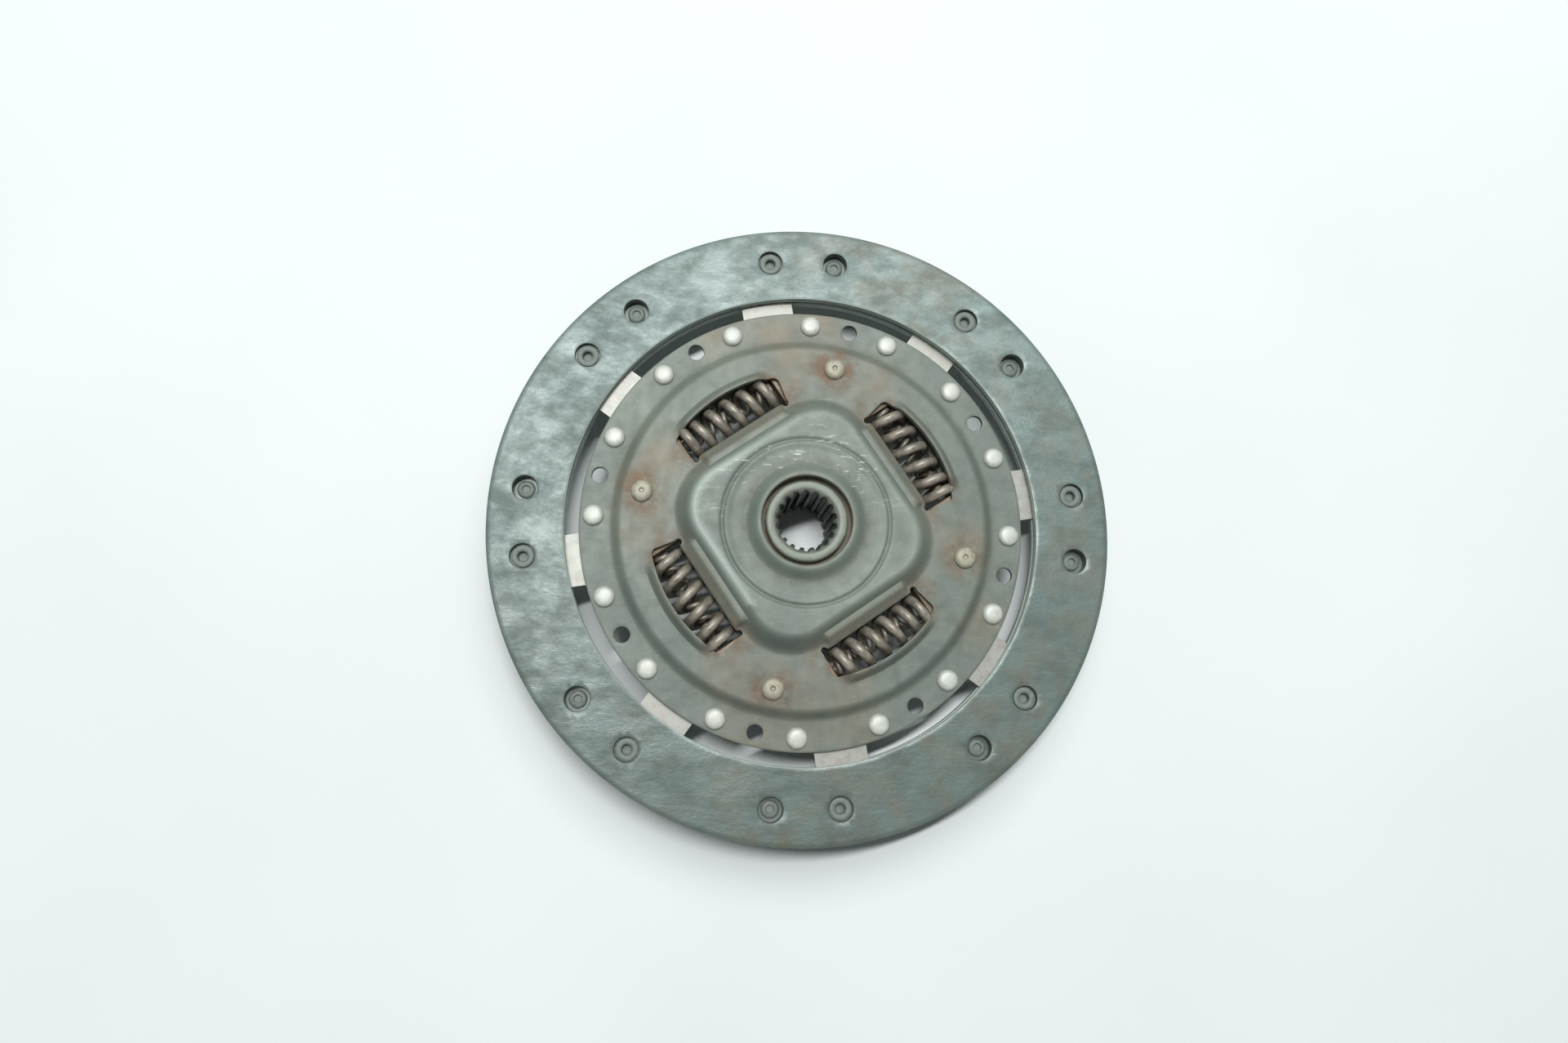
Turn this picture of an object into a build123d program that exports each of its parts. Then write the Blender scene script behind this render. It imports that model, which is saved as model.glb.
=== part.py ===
from build123d import *

import os
from math import asin, atan, cos, degrees, pi, radians, sin, sqrt

# Clutch driven disc with four damper springs. All sizes are in millimetres and all angles in
# degrees, clockwise from +Y as seen from the front. Z is the disc's axis, with +Z towards the
# visible front face and zero midway between the two friction facings.

# Hub
HUB_RADIUS = 14.85
HUB_LENGTH = 33.0
HUB_CHAMFER = 0.8
FLANGE_THICKNESS = 5.0
FLANGE_MID = 0.3
SPLINE_TEETH = 18
SPLINE_WALL = 3.95
SPLINE_DEPTH = 1.4
SPLINE_GROOVE_WIDTH = 1.95
SPLINE_RELIEF = 0.5

# Damper springs, each a pair of nested coils lying along a chord
SPRING_COUNT = 4
SPRING_LENGTH = 39.2
SPRING_WIRE = 3.6
SPRING_OD = 14.6
SPRING_TURNS = 5.8
SPRING_HANDS = (-1, 1, 1, 1)
INNER_SPRING_WIRE = 1.7
INNER_SPRING_OD = 5.6
INNER_SPRING_TURNS = 6.6
CLOSED_TURNS = 0.9
CLOSED_PITCH = 1.05
SPRING_CLEARANCE = 0.2

# Stop pins, one between each two springs
PIN_ANGLE = 11.84
PIN_SHOULDER_RADIUS = 4.0
PIN_TENON_RADIUS = 2.6
PIN_HEAD_RADIUS = 4.1
PIN_HEAD_CROWN = 3.3
PIN_HEAD_HEIGHT = 1.7
PIN_DIMPLE_RADIUS = 0.9
PIN_DIMPLE_DEPTH = 0.6
STOP_ANGLE = 12.0

# Domed middle of the drive plate, from the hub outwards
SHEET = 2.0
COLLAR_GAP = 1.45
COLLAR_RIM = 1.2
COLLAR_SPREAD = 5.3
COLLAR_HEIGHT = 2.8
COLLAR_LEAD = 1.5
DISH_WIDTH = 8.7
DISH_SLOPE = 2.8
DISH_DEPTH = 0.5
GROOVE_DEPTH = 0.8
GROOVE_SLOPE = 0.8
DOME_BORDER = 9.2
DOME_CORNER_REACH = 7.5
DOME_HEIGHT = 7.0
DOME_WALL_INSET = 5.4
DOME_EDGE = 1.4

# Spring zone and rivet rim of the drive plate
WINDOW_BORDER = 2.6
WINDOW_OVERLAP = 0.1
WINDOW_COVER = 0.4
WINDOW_NOTCH_RADIUS = 1.2
LIP_THICKNESS = 2.6
LIP_HEIGHT = 4.0
LIP_HALF_ANGLE = 19.0
PIN_BORDER = 4.0
FLANGE_BORDER = 3.8
FLANGE_CLEARANCE = 1.0
PLATE_CLEARANCE = 0.4
DRIVE_STEP_SLOPE = 3.0
RIM_INNER_BORDER = 6.5
RIM_OUTER_BORDER = 5.0
RELIEF_HOLE_RADIUS = 2.9

# Retainer plate
RETAINER_BORDER = 2.0
RETAINER_DISH_WIDTH = 17.7
RETAINER_DISH_SLOPE = 3.0
RETAINER_DISH_DEPTH = 2.1

# Cushion segments, one riveted paddle for each pair of facing rivets
SEGMENT_COUNT = 8
SEGMENT_ANGLE = -8.33
SEGMENT_THICKNESS = 0.8
SEGMENT_FOOT_BORDER = 0.8
SEGMENT_FOOT_HALF_ANGLE = 18.9
SEGMENT_NECK_WIDTH = 19.0
SEGMENT_NECK_OVERLAP = 1.5
SEGMENT_BLADE_LEAD_ANGLE = 9.07
SEGMENT_BLADE_HALF_ANGLE = 21.6
SEGMENT_BLADE_MARGIN = 1.0
SEGMENT_RIVET_HALF_ANGLE = 11.25

# Friction facings
FACING_GAP = 5.2
FACING_WIDTH = 27.3
FACING_THICKNESS = 3.4
FACING_RIVET_INSET = 14.85
FACING_RIVET_HALF_ANGLE = 6.99
FACING_SEAT_DEPTH = 1.9
FACING_SEAT_CLEARANCE = 0.45

# Rivets
SEGMENT_RIVET_SHANK = 2.1
SEGMENT_RIVET_HEAD = 3.9
SEGMENT_RIVET_CROWN = 2.4
SEGMENT_RIVET_DOME = 2.0
SEGMENT_RIVET_TAIL = 3.5
SEGMENT_RIVET_TAIL_HEIGHT = 1.6
FACING_RIVET_SHANK = 2.1
FACING_RIVET_HEAD = 4.0
FACING_RIVET_HEAD_HEIGHT = 0.9
FACING_RIVET_TAIL = 3.3
FACING_RIVET_TAIL_HEIGHT = 1.1
SHANK_CLEARANCE = 0.1

# Friction and guide rings around the hub
GUIDE_CLEARANCE = 0.06
RING_CLEARANCE = 0.05
FRICTION_RING_GAP = 2.35
FRICTION_RING_WIDTH = 11.8
FRICTION_RING_THICKNESS = 2.4
DIAPHRAGM_THICKNESS = 0.9
DIAPHRAGM_WIDTH = 8.0
BUSH_WALL = 1.2
BUSH_FLANGE_WIDTH = 5.3
BUSH_FLANGE_THICKNESS = 1.5
BUSH_LENGTH = 4.8
REAR_BUSH_LENGTH = 3.0

# Number of flats or chords that stands for each kind of circle or arc
SHANK_SIDES = 4
TAIL_SIDES = 6
RIVET_SIDES = 6
HEAD_SIDES = 8
RING_SIDES = 24
COLLAR_SIDES = 32
RIM_SIDES = 60
FACING_SIDES = 64
WIRE_SIDES = 5
INNER_WIRE_SIDES = 4
SEGMENT_CHORDS = 4
WINDOW_CHORDS = 6
TUNNEL_SIDES = 12
NOTCH_CHORDS = 3
DOME_CORNER_STEPS = 5

# Radii that follow, from the hub outwards
SPLINE_MAJOR_RADIUS = HUB_RADIUS - SPLINE_WALL
SPLINE_MINOR_RADIUS = SPLINE_MAJOR_RADIUS - SPLINE_DEPTH
COLLAR_RADIUS = HUB_RADIUS + COLLAR_GAP
COLLAR_FOOT_RADIUS = COLLAR_RADIUS + COLLAR_SPREAD
DISH_RADIUS = COLLAR_FOOT_RADIUS + DISH_WIDTH
DOME_FOOT_FLAT = DISH_RADIUS + DOME_BORDER
DOME_FOOT_CORNER = DOME_FOOT_FLAT + DOME_CORNER_REACH
WINDOW_INNER = DOME_FOOT_FLAT + WINDOW_BORDER
SPRING_RADIUS = WINDOW_INNER + SPRING_OD / 2 - WINDOW_OVERLAP
WINDOW_OUTER_RADIUS = SPRING_RADIUS + SPRING_OD / 2 - WINDOW_COVER
PIN_CIRCLE_RADIUS = WINDOW_OUTER_RADIUS + PIN_BORDER
FLANGE_RADIUS = PIN_CIRCLE_RADIUS + FLANGE_BORDER
RETAINER_RADIUS = FLANGE_RADIUS + RETAINER_BORDER
RETAINER_DISH_RADIUS = COLLAR_RADIUS + RETAINER_DISH_WIDTH
DRIVE_STEP_INNER = FLANGE_RADIUS + FLANGE_CLEARANCE + SHEET
DRIVE_STEP_OUTER = DRIVE_STEP_INNER + DRIVE_STEP_SLOPE
SEGMENT_FOOT_INNER = DRIVE_STEP_OUTER + SEGMENT_FOOT_BORDER
SEGMENT_RIVET_RADIUS = DRIVE_STEP_OUTER + RIM_INNER_BORDER
DRIVE_PLATE_RADIUS = SEGMENT_RIVET_RADIUS + RIM_OUTER_BORDER
FACING_INNER_RADIUS = DRIVE_PLATE_RADIUS + FACING_GAP
FACING_RIVET_RADIUS = FACING_INNER_RADIUS + FACING_RIVET_INSET
FACING_OUTER_RADIUS = FACING_INNER_RADIUS + FACING_WIDTH
FACING_SEAT_RADIUS = FACING_RIVET_HEAD + FACING_SEAT_CLEARANCE
FRICTION_RING_INNER = HUB_RADIUS + FRICTION_RING_GAP
FRICTION_RING_OUTER = FRICTION_RING_INNER + FRICTION_RING_WIDTH
DIAPHRAGM_INNER = FRICTION_RING_OUTER - DIAPHRAGM_WIDTH

# Heights that follow
FACING_BACK = SEGMENT_THICKNESS
FACING_FRONT = FACING_BACK + FACING_THICKNESS
SEAT_LEDGE = FACING_FRONT - FACING_SEAT_DEPTH
FLANGE_FRONT = FLANGE_MID + FLANGE_THICKNESS / 2
FLANGE_REAR = FLANGE_MID - FLANGE_THICKNESS / 2
DRIVE_RIM_BACK = SEGMENT_THICKNESS / 2
DRIVE_RIM_FRONT = DRIVE_RIM_BACK + SHEET
DRIVE_ZONE_BACK = FLANGE_FRONT + PLATE_CLEARANCE
DRIVE_ZONE_TOP = DRIVE_ZONE_BACK + SHEET
DOME_TOP = DRIVE_ZONE_TOP + DOME_HEIGHT
DOME_BACK = DOME_TOP - SHEET
DISH_FLOOR = DOME_TOP - DISH_DEPTH
COLLAR_TOP = DOME_TOP + COLLAR_HEIGHT
HUB_FRONT = COLLAR_TOP - COLLAR_LEAD
HUB_REAR = HUB_FRONT - HUB_LENGTH
THROUGH = 2 * HUB_LENGTH
RETAINER_FRONT = FLANGE_REAR - PLATE_CLEARANCE
RETAINER_REAR = RETAINER_FRONT - SHEET
RETAINER_SEAT = RETAINER_FRONT - RETAINER_DISH_DEPTH

# Angles that follow
SEGMENT_PITCH = 360.0 / SEGMENT_COUNT
SEGMENT_ANGLES = [SEGMENT_ANGLE + SEGMENT_PITCH * k for k in range(SEGMENT_COUNT)]
SEGMENT_RIVET_ANGLES = [
    angle + side * SEGMENT_RIVET_HALF_ANGLE for angle in SEGMENT_ANGLES for side in (-1, 1)
]
RELIEF_ANGLES = [angle + SEGMENT_PITCH / 2 for angle in SEGMENT_ANGLES]
PAIR_ANGLES = [angle + SEGMENT_BLADE_LEAD_ANGLE for angle in SEGMENT_ANGLES]
FRONT_RIVET_ANGLES = [angle - FACING_RIVET_HALF_ANGLE for angle in PAIR_ANGLES]
REAR_RIVET_ANGLES = [angle + FACING_RIVET_HALF_ANGLE for angle in PAIR_ANGLES]
SPRING_PITCH = 360.0 / SPRING_COUNT
PIN_ANGLES = [PIN_ANGLE + SPRING_PITCH * k for k in range(SPRING_COUNT)]
SPRING_ANGLES = [angle + SPRING_PITCH / 2 for angle in PIN_ANGLES]


def around(shape, angles, radius=0.0):
    """Copies of a shape drawn at the origin, moved out along +Y and turned to each angle."""
    return [Rot(0, 0, -angle) * Pos(0, radius, 0) * shape for angle in angles]


def prism(radius, low, high, sides):
    """Upright prism between two heights, for shanks, holes and rims."""
    return Pos(0, 0, low) * extrude(RegularPolygon(radius, sides), high - low)


def frustum(wide_radius, wide_end, narrow_radius, narrow_end, sides):
    """Tapered prism from its wide end to its narrow one, for heads and sloping walls."""
    slope = (wide_radius - narrow_radius) * cos(pi / sides) / abs(narrow_end - wide_end)
    taper = degrees(atan(slope))
    body = extrude(RegularPolygon(wide_radius, sides), abs(narrow_end - wide_end), taper=taper)
    return Pos(0, 0, wide_end) * Rot(180 * (narrow_end < wide_end), 0, 0) * body


def through(outline):
    """Cutter through the whole disc from an outline on the XY plane."""
    return Pos(0, 0, -THROUGH / 2) * extrude(outline, THROUGH)


def chords(radius, half_angle, pieces):
    """Points along an arc centred on +Y, for an edge made of a few straight chords."""
    turns = [radians(half_angle) * (2 * k / pieces - 1) for k in range(pieces + 1)]
    return [(radius * sin(turn), radius * cos(turn)) for turn in turns]


def facing(seat_angles, clear_angles):
    """Front facing: stepped seats for its own rivets, clear holes over the other facing's."""
    body = prism(FACING_OUTER_RADIUS, FACING_BACK, FACING_FRONT, FACING_SIDES)
    body -= through(RegularPolygon(FACING_INNER_RADIUS, FACING_SIDES))
    seat = prism(FACING_RIVET_SHANK + SHANK_CLEARANCE, FACING_BACK, SEAT_LEDGE, SHANK_SIDES)
    seat += prism(FACING_SEAT_RADIUS, SEAT_LEDGE, FACING_FRONT, HEAD_SIDES)
    clear = prism(FACING_SEAT_RADIUS, FACING_BACK, FACING_FRONT, HEAD_SIDES)
    body -= around(seat, seat_angles, FACING_RIVET_RADIUS)
    return body - around(clear, clear_angles, FACING_RIVET_RADIUS)


def facing_rivets(angles):
    """Rivets of the front facing: flat head on the seat, flared tail behind the cushion segment."""
    rivet = prism(FACING_RIVET_SHANK, 0, SEAT_LEDGE, SHANK_SIDES)
    head_top = SEAT_LEDGE + FACING_RIVET_HEAD_HEIGHT
    rivet += prism(FACING_RIVET_HEAD, SEAT_LEDGE, head_top, RIVET_SIDES)
    rivet += frustum(FACING_RIVET_TAIL, 0, FACING_RIVET_SHANK, -FACING_RIVET_TAIL_HEIGHT, TAIL_SIDES)
    return Compound(around(rivet, angles, FACING_RIVET_RADIUS))


def waved_sheet():
    """Sheet bent across the blade, so that each half lies against its own facing."""
    far = FACING_OUTER_RADIUS
    bend = FACING_RIVET_RADIUS * sin(radians(FACING_RIVET_HALF_ANGLE)) / 3
    front = FACING_BACK - SEGMENT_THICKNESS
    outline = Polyline(
        (-far, front),
        (-bend, front),
        (bend, -FACING_BACK),
        (far, -FACING_BACK),
        (far, -front),
        (bend, -front),
        (-bend, FACING_BACK),
        (-far, FACING_BACK),
        close=True,
    )
    return extrude(Plane.XZ * make_face(outline), -FACING_OUTER_RADIUS)


def cushion_segment(angle):
    """Spring-steel segment: riveted foot, neck and bent blade between the facings."""
    rim = chords(DRIVE_PLATE_RADIUS, SEGMENT_FOOT_HALF_ANGLE, SEGMENT_CHORDS)
    inner_edge = chords(SEGMENT_FOOT_INNER, SEGMENT_FOOT_HALF_ANGLE, 1)
    flat = make_face(Polyline(*rim, *reversed(inner_edge), close=True))
    blade_inner = FACING_INNER_RADIUS + SEGMENT_BLADE_MARGIN
    blade_outer = FACING_OUTER_RADIUS - SEGMENT_BLADE_MARGIN
    neck_length = blade_inner + SEGMENT_NECK_OVERLAP - SEGMENT_RIVET_RADIUS
    neck = Rectangle(SEGMENT_NECK_WIDTH, neck_length, align=(Align.CENTER, Align.MIN))
    flat += Pos(0, SEGMENT_RIVET_RADIUS) * neck
    body = Pos(0, 0, -SEGMENT_THICKNESS / 2) * extrude(flat, SEGMENT_THICKNESS)
    hole = through(RegularPolygon(SEGMENT_RIVET_SHANK + SHANK_CLEARANCE, SHANK_SIDES))
    sides = (-SEGMENT_RIVET_HALF_ANGLE, SEGMENT_RIVET_HALF_ANGLE)
    body -= around(hole, sides, SEGMENT_RIVET_RADIUS)
    outer_edge = chords(blade_outer, SEGMENT_BLADE_HALF_ANGLE, SEGMENT_CHORDS)
    inner_edge = chords(blade_inner, SEGMENT_BLADE_HALF_ANGLE, SEGMENT_CHORDS)
    outline = make_face(Polyline(*outer_edge, *reversed(inner_edge), close=True))
    blade = waved_sheet() & through(outline)
    hole = through(RegularPolygon(FACING_RIVET_SHANK + SHANK_CLEARANCE, SHANK_SIDES))
    sides = (-FACING_RIVET_HALF_ANGLE, FACING_RIVET_HALF_ANGLE)
    blade -= around(hole, sides, FACING_RIVET_RADIUS)
    return Rot(0, 0, -angle) * (body + Rot(0, 0, -SEGMENT_BLADE_LEAD_ANGLE) * blade)


def segment_rivets():
    """Domed rivets that clamp the cushion segments behind the drive plate's rim."""
    rear = -SEGMENT_THICKNESS / 2
    tail_end = rear - SEGMENT_RIVET_TAIL_HEIGHT
    crown = DRIVE_RIM_FRONT + SEGMENT_RIVET_DOME
    rivet = prism(SEGMENT_RIVET_SHANK, rear, DRIVE_RIM_FRONT, SHANK_SIDES)
    rivet += frustum(SEGMENT_RIVET_HEAD, DRIVE_RIM_FRONT, SEGMENT_RIVET_CROWN, crown, RIVET_SIDES)
    rivet += frustum(SEGMENT_RIVET_TAIL, rear, SEGMENT_RIVET_SHANK, tail_end, TAIL_SIDES)
    return Compound(around(rivet, SEGMENT_RIVET_ANGLES, SEGMENT_RIVET_RADIUS))


def rounded_square(inset, height):
    """Foot outline of the dome: a square whose flats face the springs, with wide round corners."""
    radius = (DOME_FOOT_FLAT * sqrt(2) - DOME_FOOT_CORNER) / (sqrt(2) - 1)
    middle = (DOME_FOOT_FLAT - radius) * sqrt(2)
    points = []
    for quarter in range(4):
        corner = pi / 2 * quarter + pi / 4
        for step in range(DOME_CORNER_STEPS + 1):
            turn = pi / 2 * (quarter + step / DOME_CORNER_STEPS)
            x = middle * cos(corner) + (radius - inset) * cos(turn)
            y = middle * sin(corner) + (radius - inset) * sin(turn)
            points.append((x, y))
    outline = make_face(Polyline(*points, close=True))
    return Pos(0, 0, height) * Rot(0, 0, -SPRING_ANGLES[0]) * outline


def dome(inset):
    """Rounded-square dome pressed up around the hub. An inset gives the room inside its sheet."""
    foot, edge, top = DRIVE_ZONE_TOP - inset, DOME_TOP - DOME_EDGE, DOME_TOP - inset
    wall_inset = (DOME_WALL_INSET - DOME_EDGE) / (edge - DRIVE_ZONE_TOP)
    walls = extrude(rounded_square(inset, foot), edge - foot, taper=degrees(atan(wall_inset)))
    edge_inset = inset + wall_inset * (edge - foot)
    crown = extrude(rounded_square(edge_inset, edge), top - edge, taper=45)
    return walls + crown


def spring_windows():
    """Windows over the springs: straight inside, curved outside, inner corners notched."""
    half_length = SPRING_LENGTH / 2 + SPRING_CLEARANCE
    half_angle = degrees(asin(half_length / WINDOW_OUTER_RADIUS))
    outer_edge = chords(WINDOW_OUTER_RADIUS, half_angle, WINDOW_CHORDS)
    corners = [(half_length, WINDOW_INNER), (-half_length, WINDOW_INNER)]
    opening = make_face(Polyline(*outer_edge, *corners, close=True))
    for corner in corners:
        opening += Pos(*corner) * RegularPolygon(WINDOW_NOTCH_RADIUS, TAIL_SIDES)
    return around(through(opening), SPRING_ANGLES)


def spring_tunnels():
    """Room for the round springs themselves, which reach out under the windows' outer edges."""
    outline = RegularPolygon(SPRING_OD / 2 + SPRING_CLEARANCE, TUNNEL_SIDES, major_radius=False)
    half_length = SPRING_LENGTH / 2 + SPRING_CLEARANCE
    tunnel = Pos(0, 0, FLANGE_MID) * extrude(Plane.YZ * outline, half_length, both=True)
    return around(tunnel, SPRING_ANGLES, SPRING_RADIUS)


def window_lips():
    """Raised lips along the windows' outer edges, arched over the springs to keep them in."""
    outer_edge = chords(WINDOW_OUTER_RADIUS + LIP_THICKNESS, LIP_HALF_ANGLE, WINDOW_CHORDS)
    inner_edge = chords(WINDOW_OUTER_RADIUS - LIP_THICKNESS, LIP_HALF_ANGLE, 1)
    outline = make_face(Polyline(*outer_edge, *reversed(inner_edge), close=True))
    return around(Pos(0, 0, DRIVE_ZONE_BACK) * extrude(outline, SHEET + LIP_HEIGHT), SPRING_ANGLES)


def tenon_holes():
    """Holes for the riveted ends of the stop pins."""
    hole = through(RegularPolygon(PIN_TENON_RADIUS + SHANK_CLEARANCE, SHANK_SIDES))
    return around(hole, PIN_ANGLES, PIN_CIRCLE_RADIUS)


def dish():
    """Ring groove and shallow dish pressed into the top of the dome."""
    groove_floor = DOME_TOP - GROOVE_DEPTH
    ridge_radius = DISH_RADIUS - GROOVE_SLOPE
    cut = frustum(DISH_RADIUS + GROOVE_SLOPE, DOME_TOP, DISH_RADIUS, groove_floor, COLLAR_SIDES)
    ridge = frustum(DISH_RADIUS, groove_floor, ridge_radius, DOME_TOP, COLLAR_SIDES)
    floor_radius = ridge_radius - DISH_SLOPE
    return cut - (ridge - frustum(ridge_radius, DOME_TOP, floor_radius, DISH_FLOOR, COLLAR_SIDES))


def drive_plate():
    """Visible pressed plate: rivet rim, raised spring zone, rounded-square dome and hub collar."""
    plate = prism(DRIVE_PLATE_RADIUS, DRIVE_RIM_BACK, DRIVE_RIM_FRONT, RIM_SIDES)
    plate += frustum(DRIVE_STEP_OUTER, DRIVE_RIM_FRONT, DRIVE_STEP_INNER, DRIVE_ZONE_TOP, RIM_SIDES)
    wide, narrow = DRIVE_STEP_OUTER - SHEET, DRIVE_STEP_INNER - SHEET
    plate -= frustum(wide, DRIVE_RIM_BACK, narrow, DRIVE_ZONE_BACK, COLLAR_SIDES)
    plate += dome(0.0)
    plate -= dome(SHEET)
    plate -= dish()
    rim = COLLAR_RADIUS + COLLAR_RIM
    plate += frustum(COLLAR_FOOT_RADIUS, DISH_FLOOR, rim, COLLAR_TOP, COLLAR_SIDES)
    plate -= through(RegularPolygon(COLLAR_RADIUS, COLLAR_SIDES))
    plate += window_lips()
    plate -= spring_windows()
    plate -= spring_tunnels()
    plate -= tenon_holes()
    shank = through(RegularPolygon(SEGMENT_RIVET_SHANK + SHANK_CLEARANCE, SHANK_SIDES))
    plate -= around(shank, SEGMENT_RIVET_ANGLES, SEGMENT_RIVET_RADIUS)
    relief = through(RegularPolygon(RELIEF_HOLE_RADIUS, HEAD_SIDES))
    return plate - around(relief, RELIEF_ANGLES, SEGMENT_RIVET_RADIUS)


def retainer_plate():
    """Rear pressed plate, tied to the drive plate by the stop pins."""
    slope_end = RETAINER_DISH_RADIUS + RETAINER_DISH_SLOPE
    plate = prism(RETAINER_RADIUS, RETAINER_REAR, RETAINER_FRONT, RIM_SIDES)
    wide, narrow = slope_end + SHEET / 2, RETAINER_DISH_RADIUS + SHEET / 2
    plate += frustum(wide, RETAINER_REAR, narrow, RETAINER_SEAT - SHEET, RING_SIDES)
    plate -= frustum(slope_end, RETAINER_FRONT, RETAINER_DISH_RADIUS, RETAINER_SEAT, RING_SIDES)
    plate -= through(RegularPolygon(COLLAR_RADIUS, COLLAR_SIDES))
    plate -= spring_windows()
    plate -= spring_tunnels()
    return plate - tenon_holes()


def stop_pins():
    """Shouldered pins with riveted button heads, which space the plates and stop the twist."""
    front = DRIVE_ZONE_TOP
    top = front + PIN_HEAD_HEIGHT
    rear = RETAINER_REAR
    pin = prism(PIN_SHOULDER_RADIUS, RETAINER_FRONT, DRIVE_ZONE_BACK, HEAD_SIDES)
    pin += prism(PIN_TENON_RADIUS, rear, front, SHANK_SIDES)
    pin += frustum(PIN_HEAD_RADIUS, front, PIN_HEAD_CROWN, top, HEAD_SIDES)
    pin += frustum(PIN_HEAD_RADIUS, rear, PIN_HEAD_CROWN, rear - PIN_HEAD_HEIGHT, HEAD_SIDES)
    pin -= frustum(PIN_DIMPLE_RADIUS, top, PIN_DIMPLE_RADIUS / 2, top - PIN_DIMPLE_DEPTH, TAIL_SIDES)
    return Compound(around(pin, PIN_ANGLES, PIN_CIRCLE_RADIUS))


def hub():
    """Splined sleeve with a flange that carries the springs and leaves the stop pins their travel."""
    sleeve = extrude(Circle(HUB_RADIUS), HUB_FRONT - HUB_REAR)
    sleeve = Pos(0, 0, HUB_REAR) * chamfer(sleeve.edges(), HUB_CHAMFER)
    outline = RegularPolygon(FLANGE_RADIUS, RIM_SIDES)
    half_window = SPRING_LENGTH / 2 + SPRING_CLEARANCE
    window = Rectangle(2 * half_window, SPRING_OD + 2 * SPRING_CLEARANCE)
    outline -= around(window, SPRING_ANGLES, SPRING_RADIUS)
    pin_reach = PIN_SHOULDER_RADIUS + SPRING_CLEARANCE
    notch_half_angle = STOP_ANGLE + degrees(pin_reach / PIN_CIRCLE_RADIUS)
    floor = chords(PIN_CIRCLE_RADIUS - pin_reach, notch_half_angle, NOTCH_CHORDS)
    mouth = chords(FLANGE_RADIUS + pin_reach, notch_half_angle, 1)
    outline -= around(make_face(Polyline(*floor, *reversed(mouth), close=True)), PIN_ANGLES)
    body = sleeve + Pos(0, 0, FLANGE_REAR) * extrude(outline, FLANGE_THICKNESS)
    teeth = [360.0 / SPLINE_TEETH * k for k in range(SPLINE_TEETH)]
    groove = Rectangle(SPLINE_GROOVE_WIDTH, SPLINE_MAJOR_RADIUS, align=(Align.CENTER, Align.MIN))
    bore = Rot(0, 0, 90) * RegularPolygon(SPLINE_MINOR_RADIUS, SPLINE_TEETH)
    body -= through(bore + around(groove, teeth))
    relief = prism(SPLINE_MAJOR_RADIUS + SPLINE_RELIEF, 0, 2 * SPLINE_RELIEF, RING_SIDES)
    ends = (HUB_REAR, HUB_FRONT - 2 * SPLINE_RELIEF)
    return body - [Pos(0, 0, end) * relief for end in ends]


def coil(angle, outer_diameter, wire, turns, hand, sides):
    """Compression spring along the chord at one angle, with a closed coil at each end."""
    mean = (outer_diameter - wire) / 2
    length = SPRING_LENGTH - wire
    closed = CLOSED_TURNS * CLOSED_PITCH * wire
    marks = [(0.0, 0.0), (CLOSED_TURNS, closed), (turns - CLOSED_TURNS, length - closed), (turns, length)]
    stations = []
    for (turn, rise), (next_turn, next_rise) in zip(marks, marks[1:]):
        steps = round((next_turn - turn) * (sides + 1))
        shares = [k / steps for k in range(steps)]
        stations += [(turn + (next_turn - turn) * t, rise + (next_rise - rise) * t) for t in shares]
    path = []
    for turn, rise in stations + [marks[-1]]:
        phase = 2 * pi * hand * turn
        path.append((rise - length / 2, mean * cos(phase), mean * sin(phase)))
    start = Plane(origin=path[0], z_dir=Vector(*path[1]) - Vector(*path[0]))
    wire_end = start * RegularPolygon(wire / 2, sides)
    spring = sweep(wire_end, path=Polyline(*path), transition=Transition.RIGHT)
    return Rot(0, 0, -angle) * Pos(0, SPRING_RADIUS, FLANGE_MID) * spring


def friction_ring():
    """Friction washer in front of the hub flange."""
    low = FLANGE_FRONT + RING_CLEARANCE
    ring = prism(FRICTION_RING_OUTER, low, low + FRICTION_RING_THICKNESS, RING_SIDES)
    return ring - through(RegularPolygon(FRICTION_RING_INNER, RING_SIDES))


def diaphragm_spring():
    """Coned washer that presses the friction washer against the hub flange."""
    low = FLANGE_FRONT + RING_CLEARANCE + FRICTION_RING_THICKNESS
    high = DOME_BACK
    outer = FRICTION_RING_OUTER
    cone = prism(outer, low, low + DIAPHRAGM_THICKNESS, RING_SIDES)
    cone += frustum(outer, low + DIAPHRAGM_THICKNESS, DIAPHRAGM_INNER, high, RING_SIDES)
    cone -= frustum(outer, low, DIAPHRAGM_INNER, high - DIAPHRAGM_THICKNESS, RING_SIDES)
    return cone - through(RegularPolygon(DIAPHRAGM_INNER, RING_SIDES))


def guide_bush():
    """Flanged bush that centres the drive plate on the hub."""
    bore = HUB_RADIUS + GUIDE_CLEARANCE
    bush = prism(bore + BUSH_WALL, DOME_BACK - BUSH_LENGTH, DOME_BACK, RING_SIDES)
    flange_back = DOME_BACK - BUSH_FLANGE_THICKNESS
    bush += prism(bore + BUSH_FLANGE_WIDTH, flange_back, DOME_BACK, RING_SIDES)
    return bush - through(RegularPolygon(bore, RING_SIDES, major_radius=False))


def rear_friction_bush():
    """Flanged friction bush between the hub flange and the retainer plate."""
    rear = RETAINER_SEAT - REAR_BUSH_LENGTH
    bush = prism(COLLAR_RADIUS - SHANK_CLEARANCE, rear, RETAINER_SEAT, RING_SIDES)
    bush += prism(FRICTION_RING_OUTER, RETAINER_SEAT, FLANGE_REAR - RING_CLEARANCE, RING_SIDES)
    return bush - through(RegularPolygon(HUB_RADIUS + GUIDE_CLEARANCE, RING_SIDES, major_radius=False))


def save(name, shape):
    """Write one node as a STEP file."""
    export_step(shape, f"parts/{name}.step")


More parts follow.
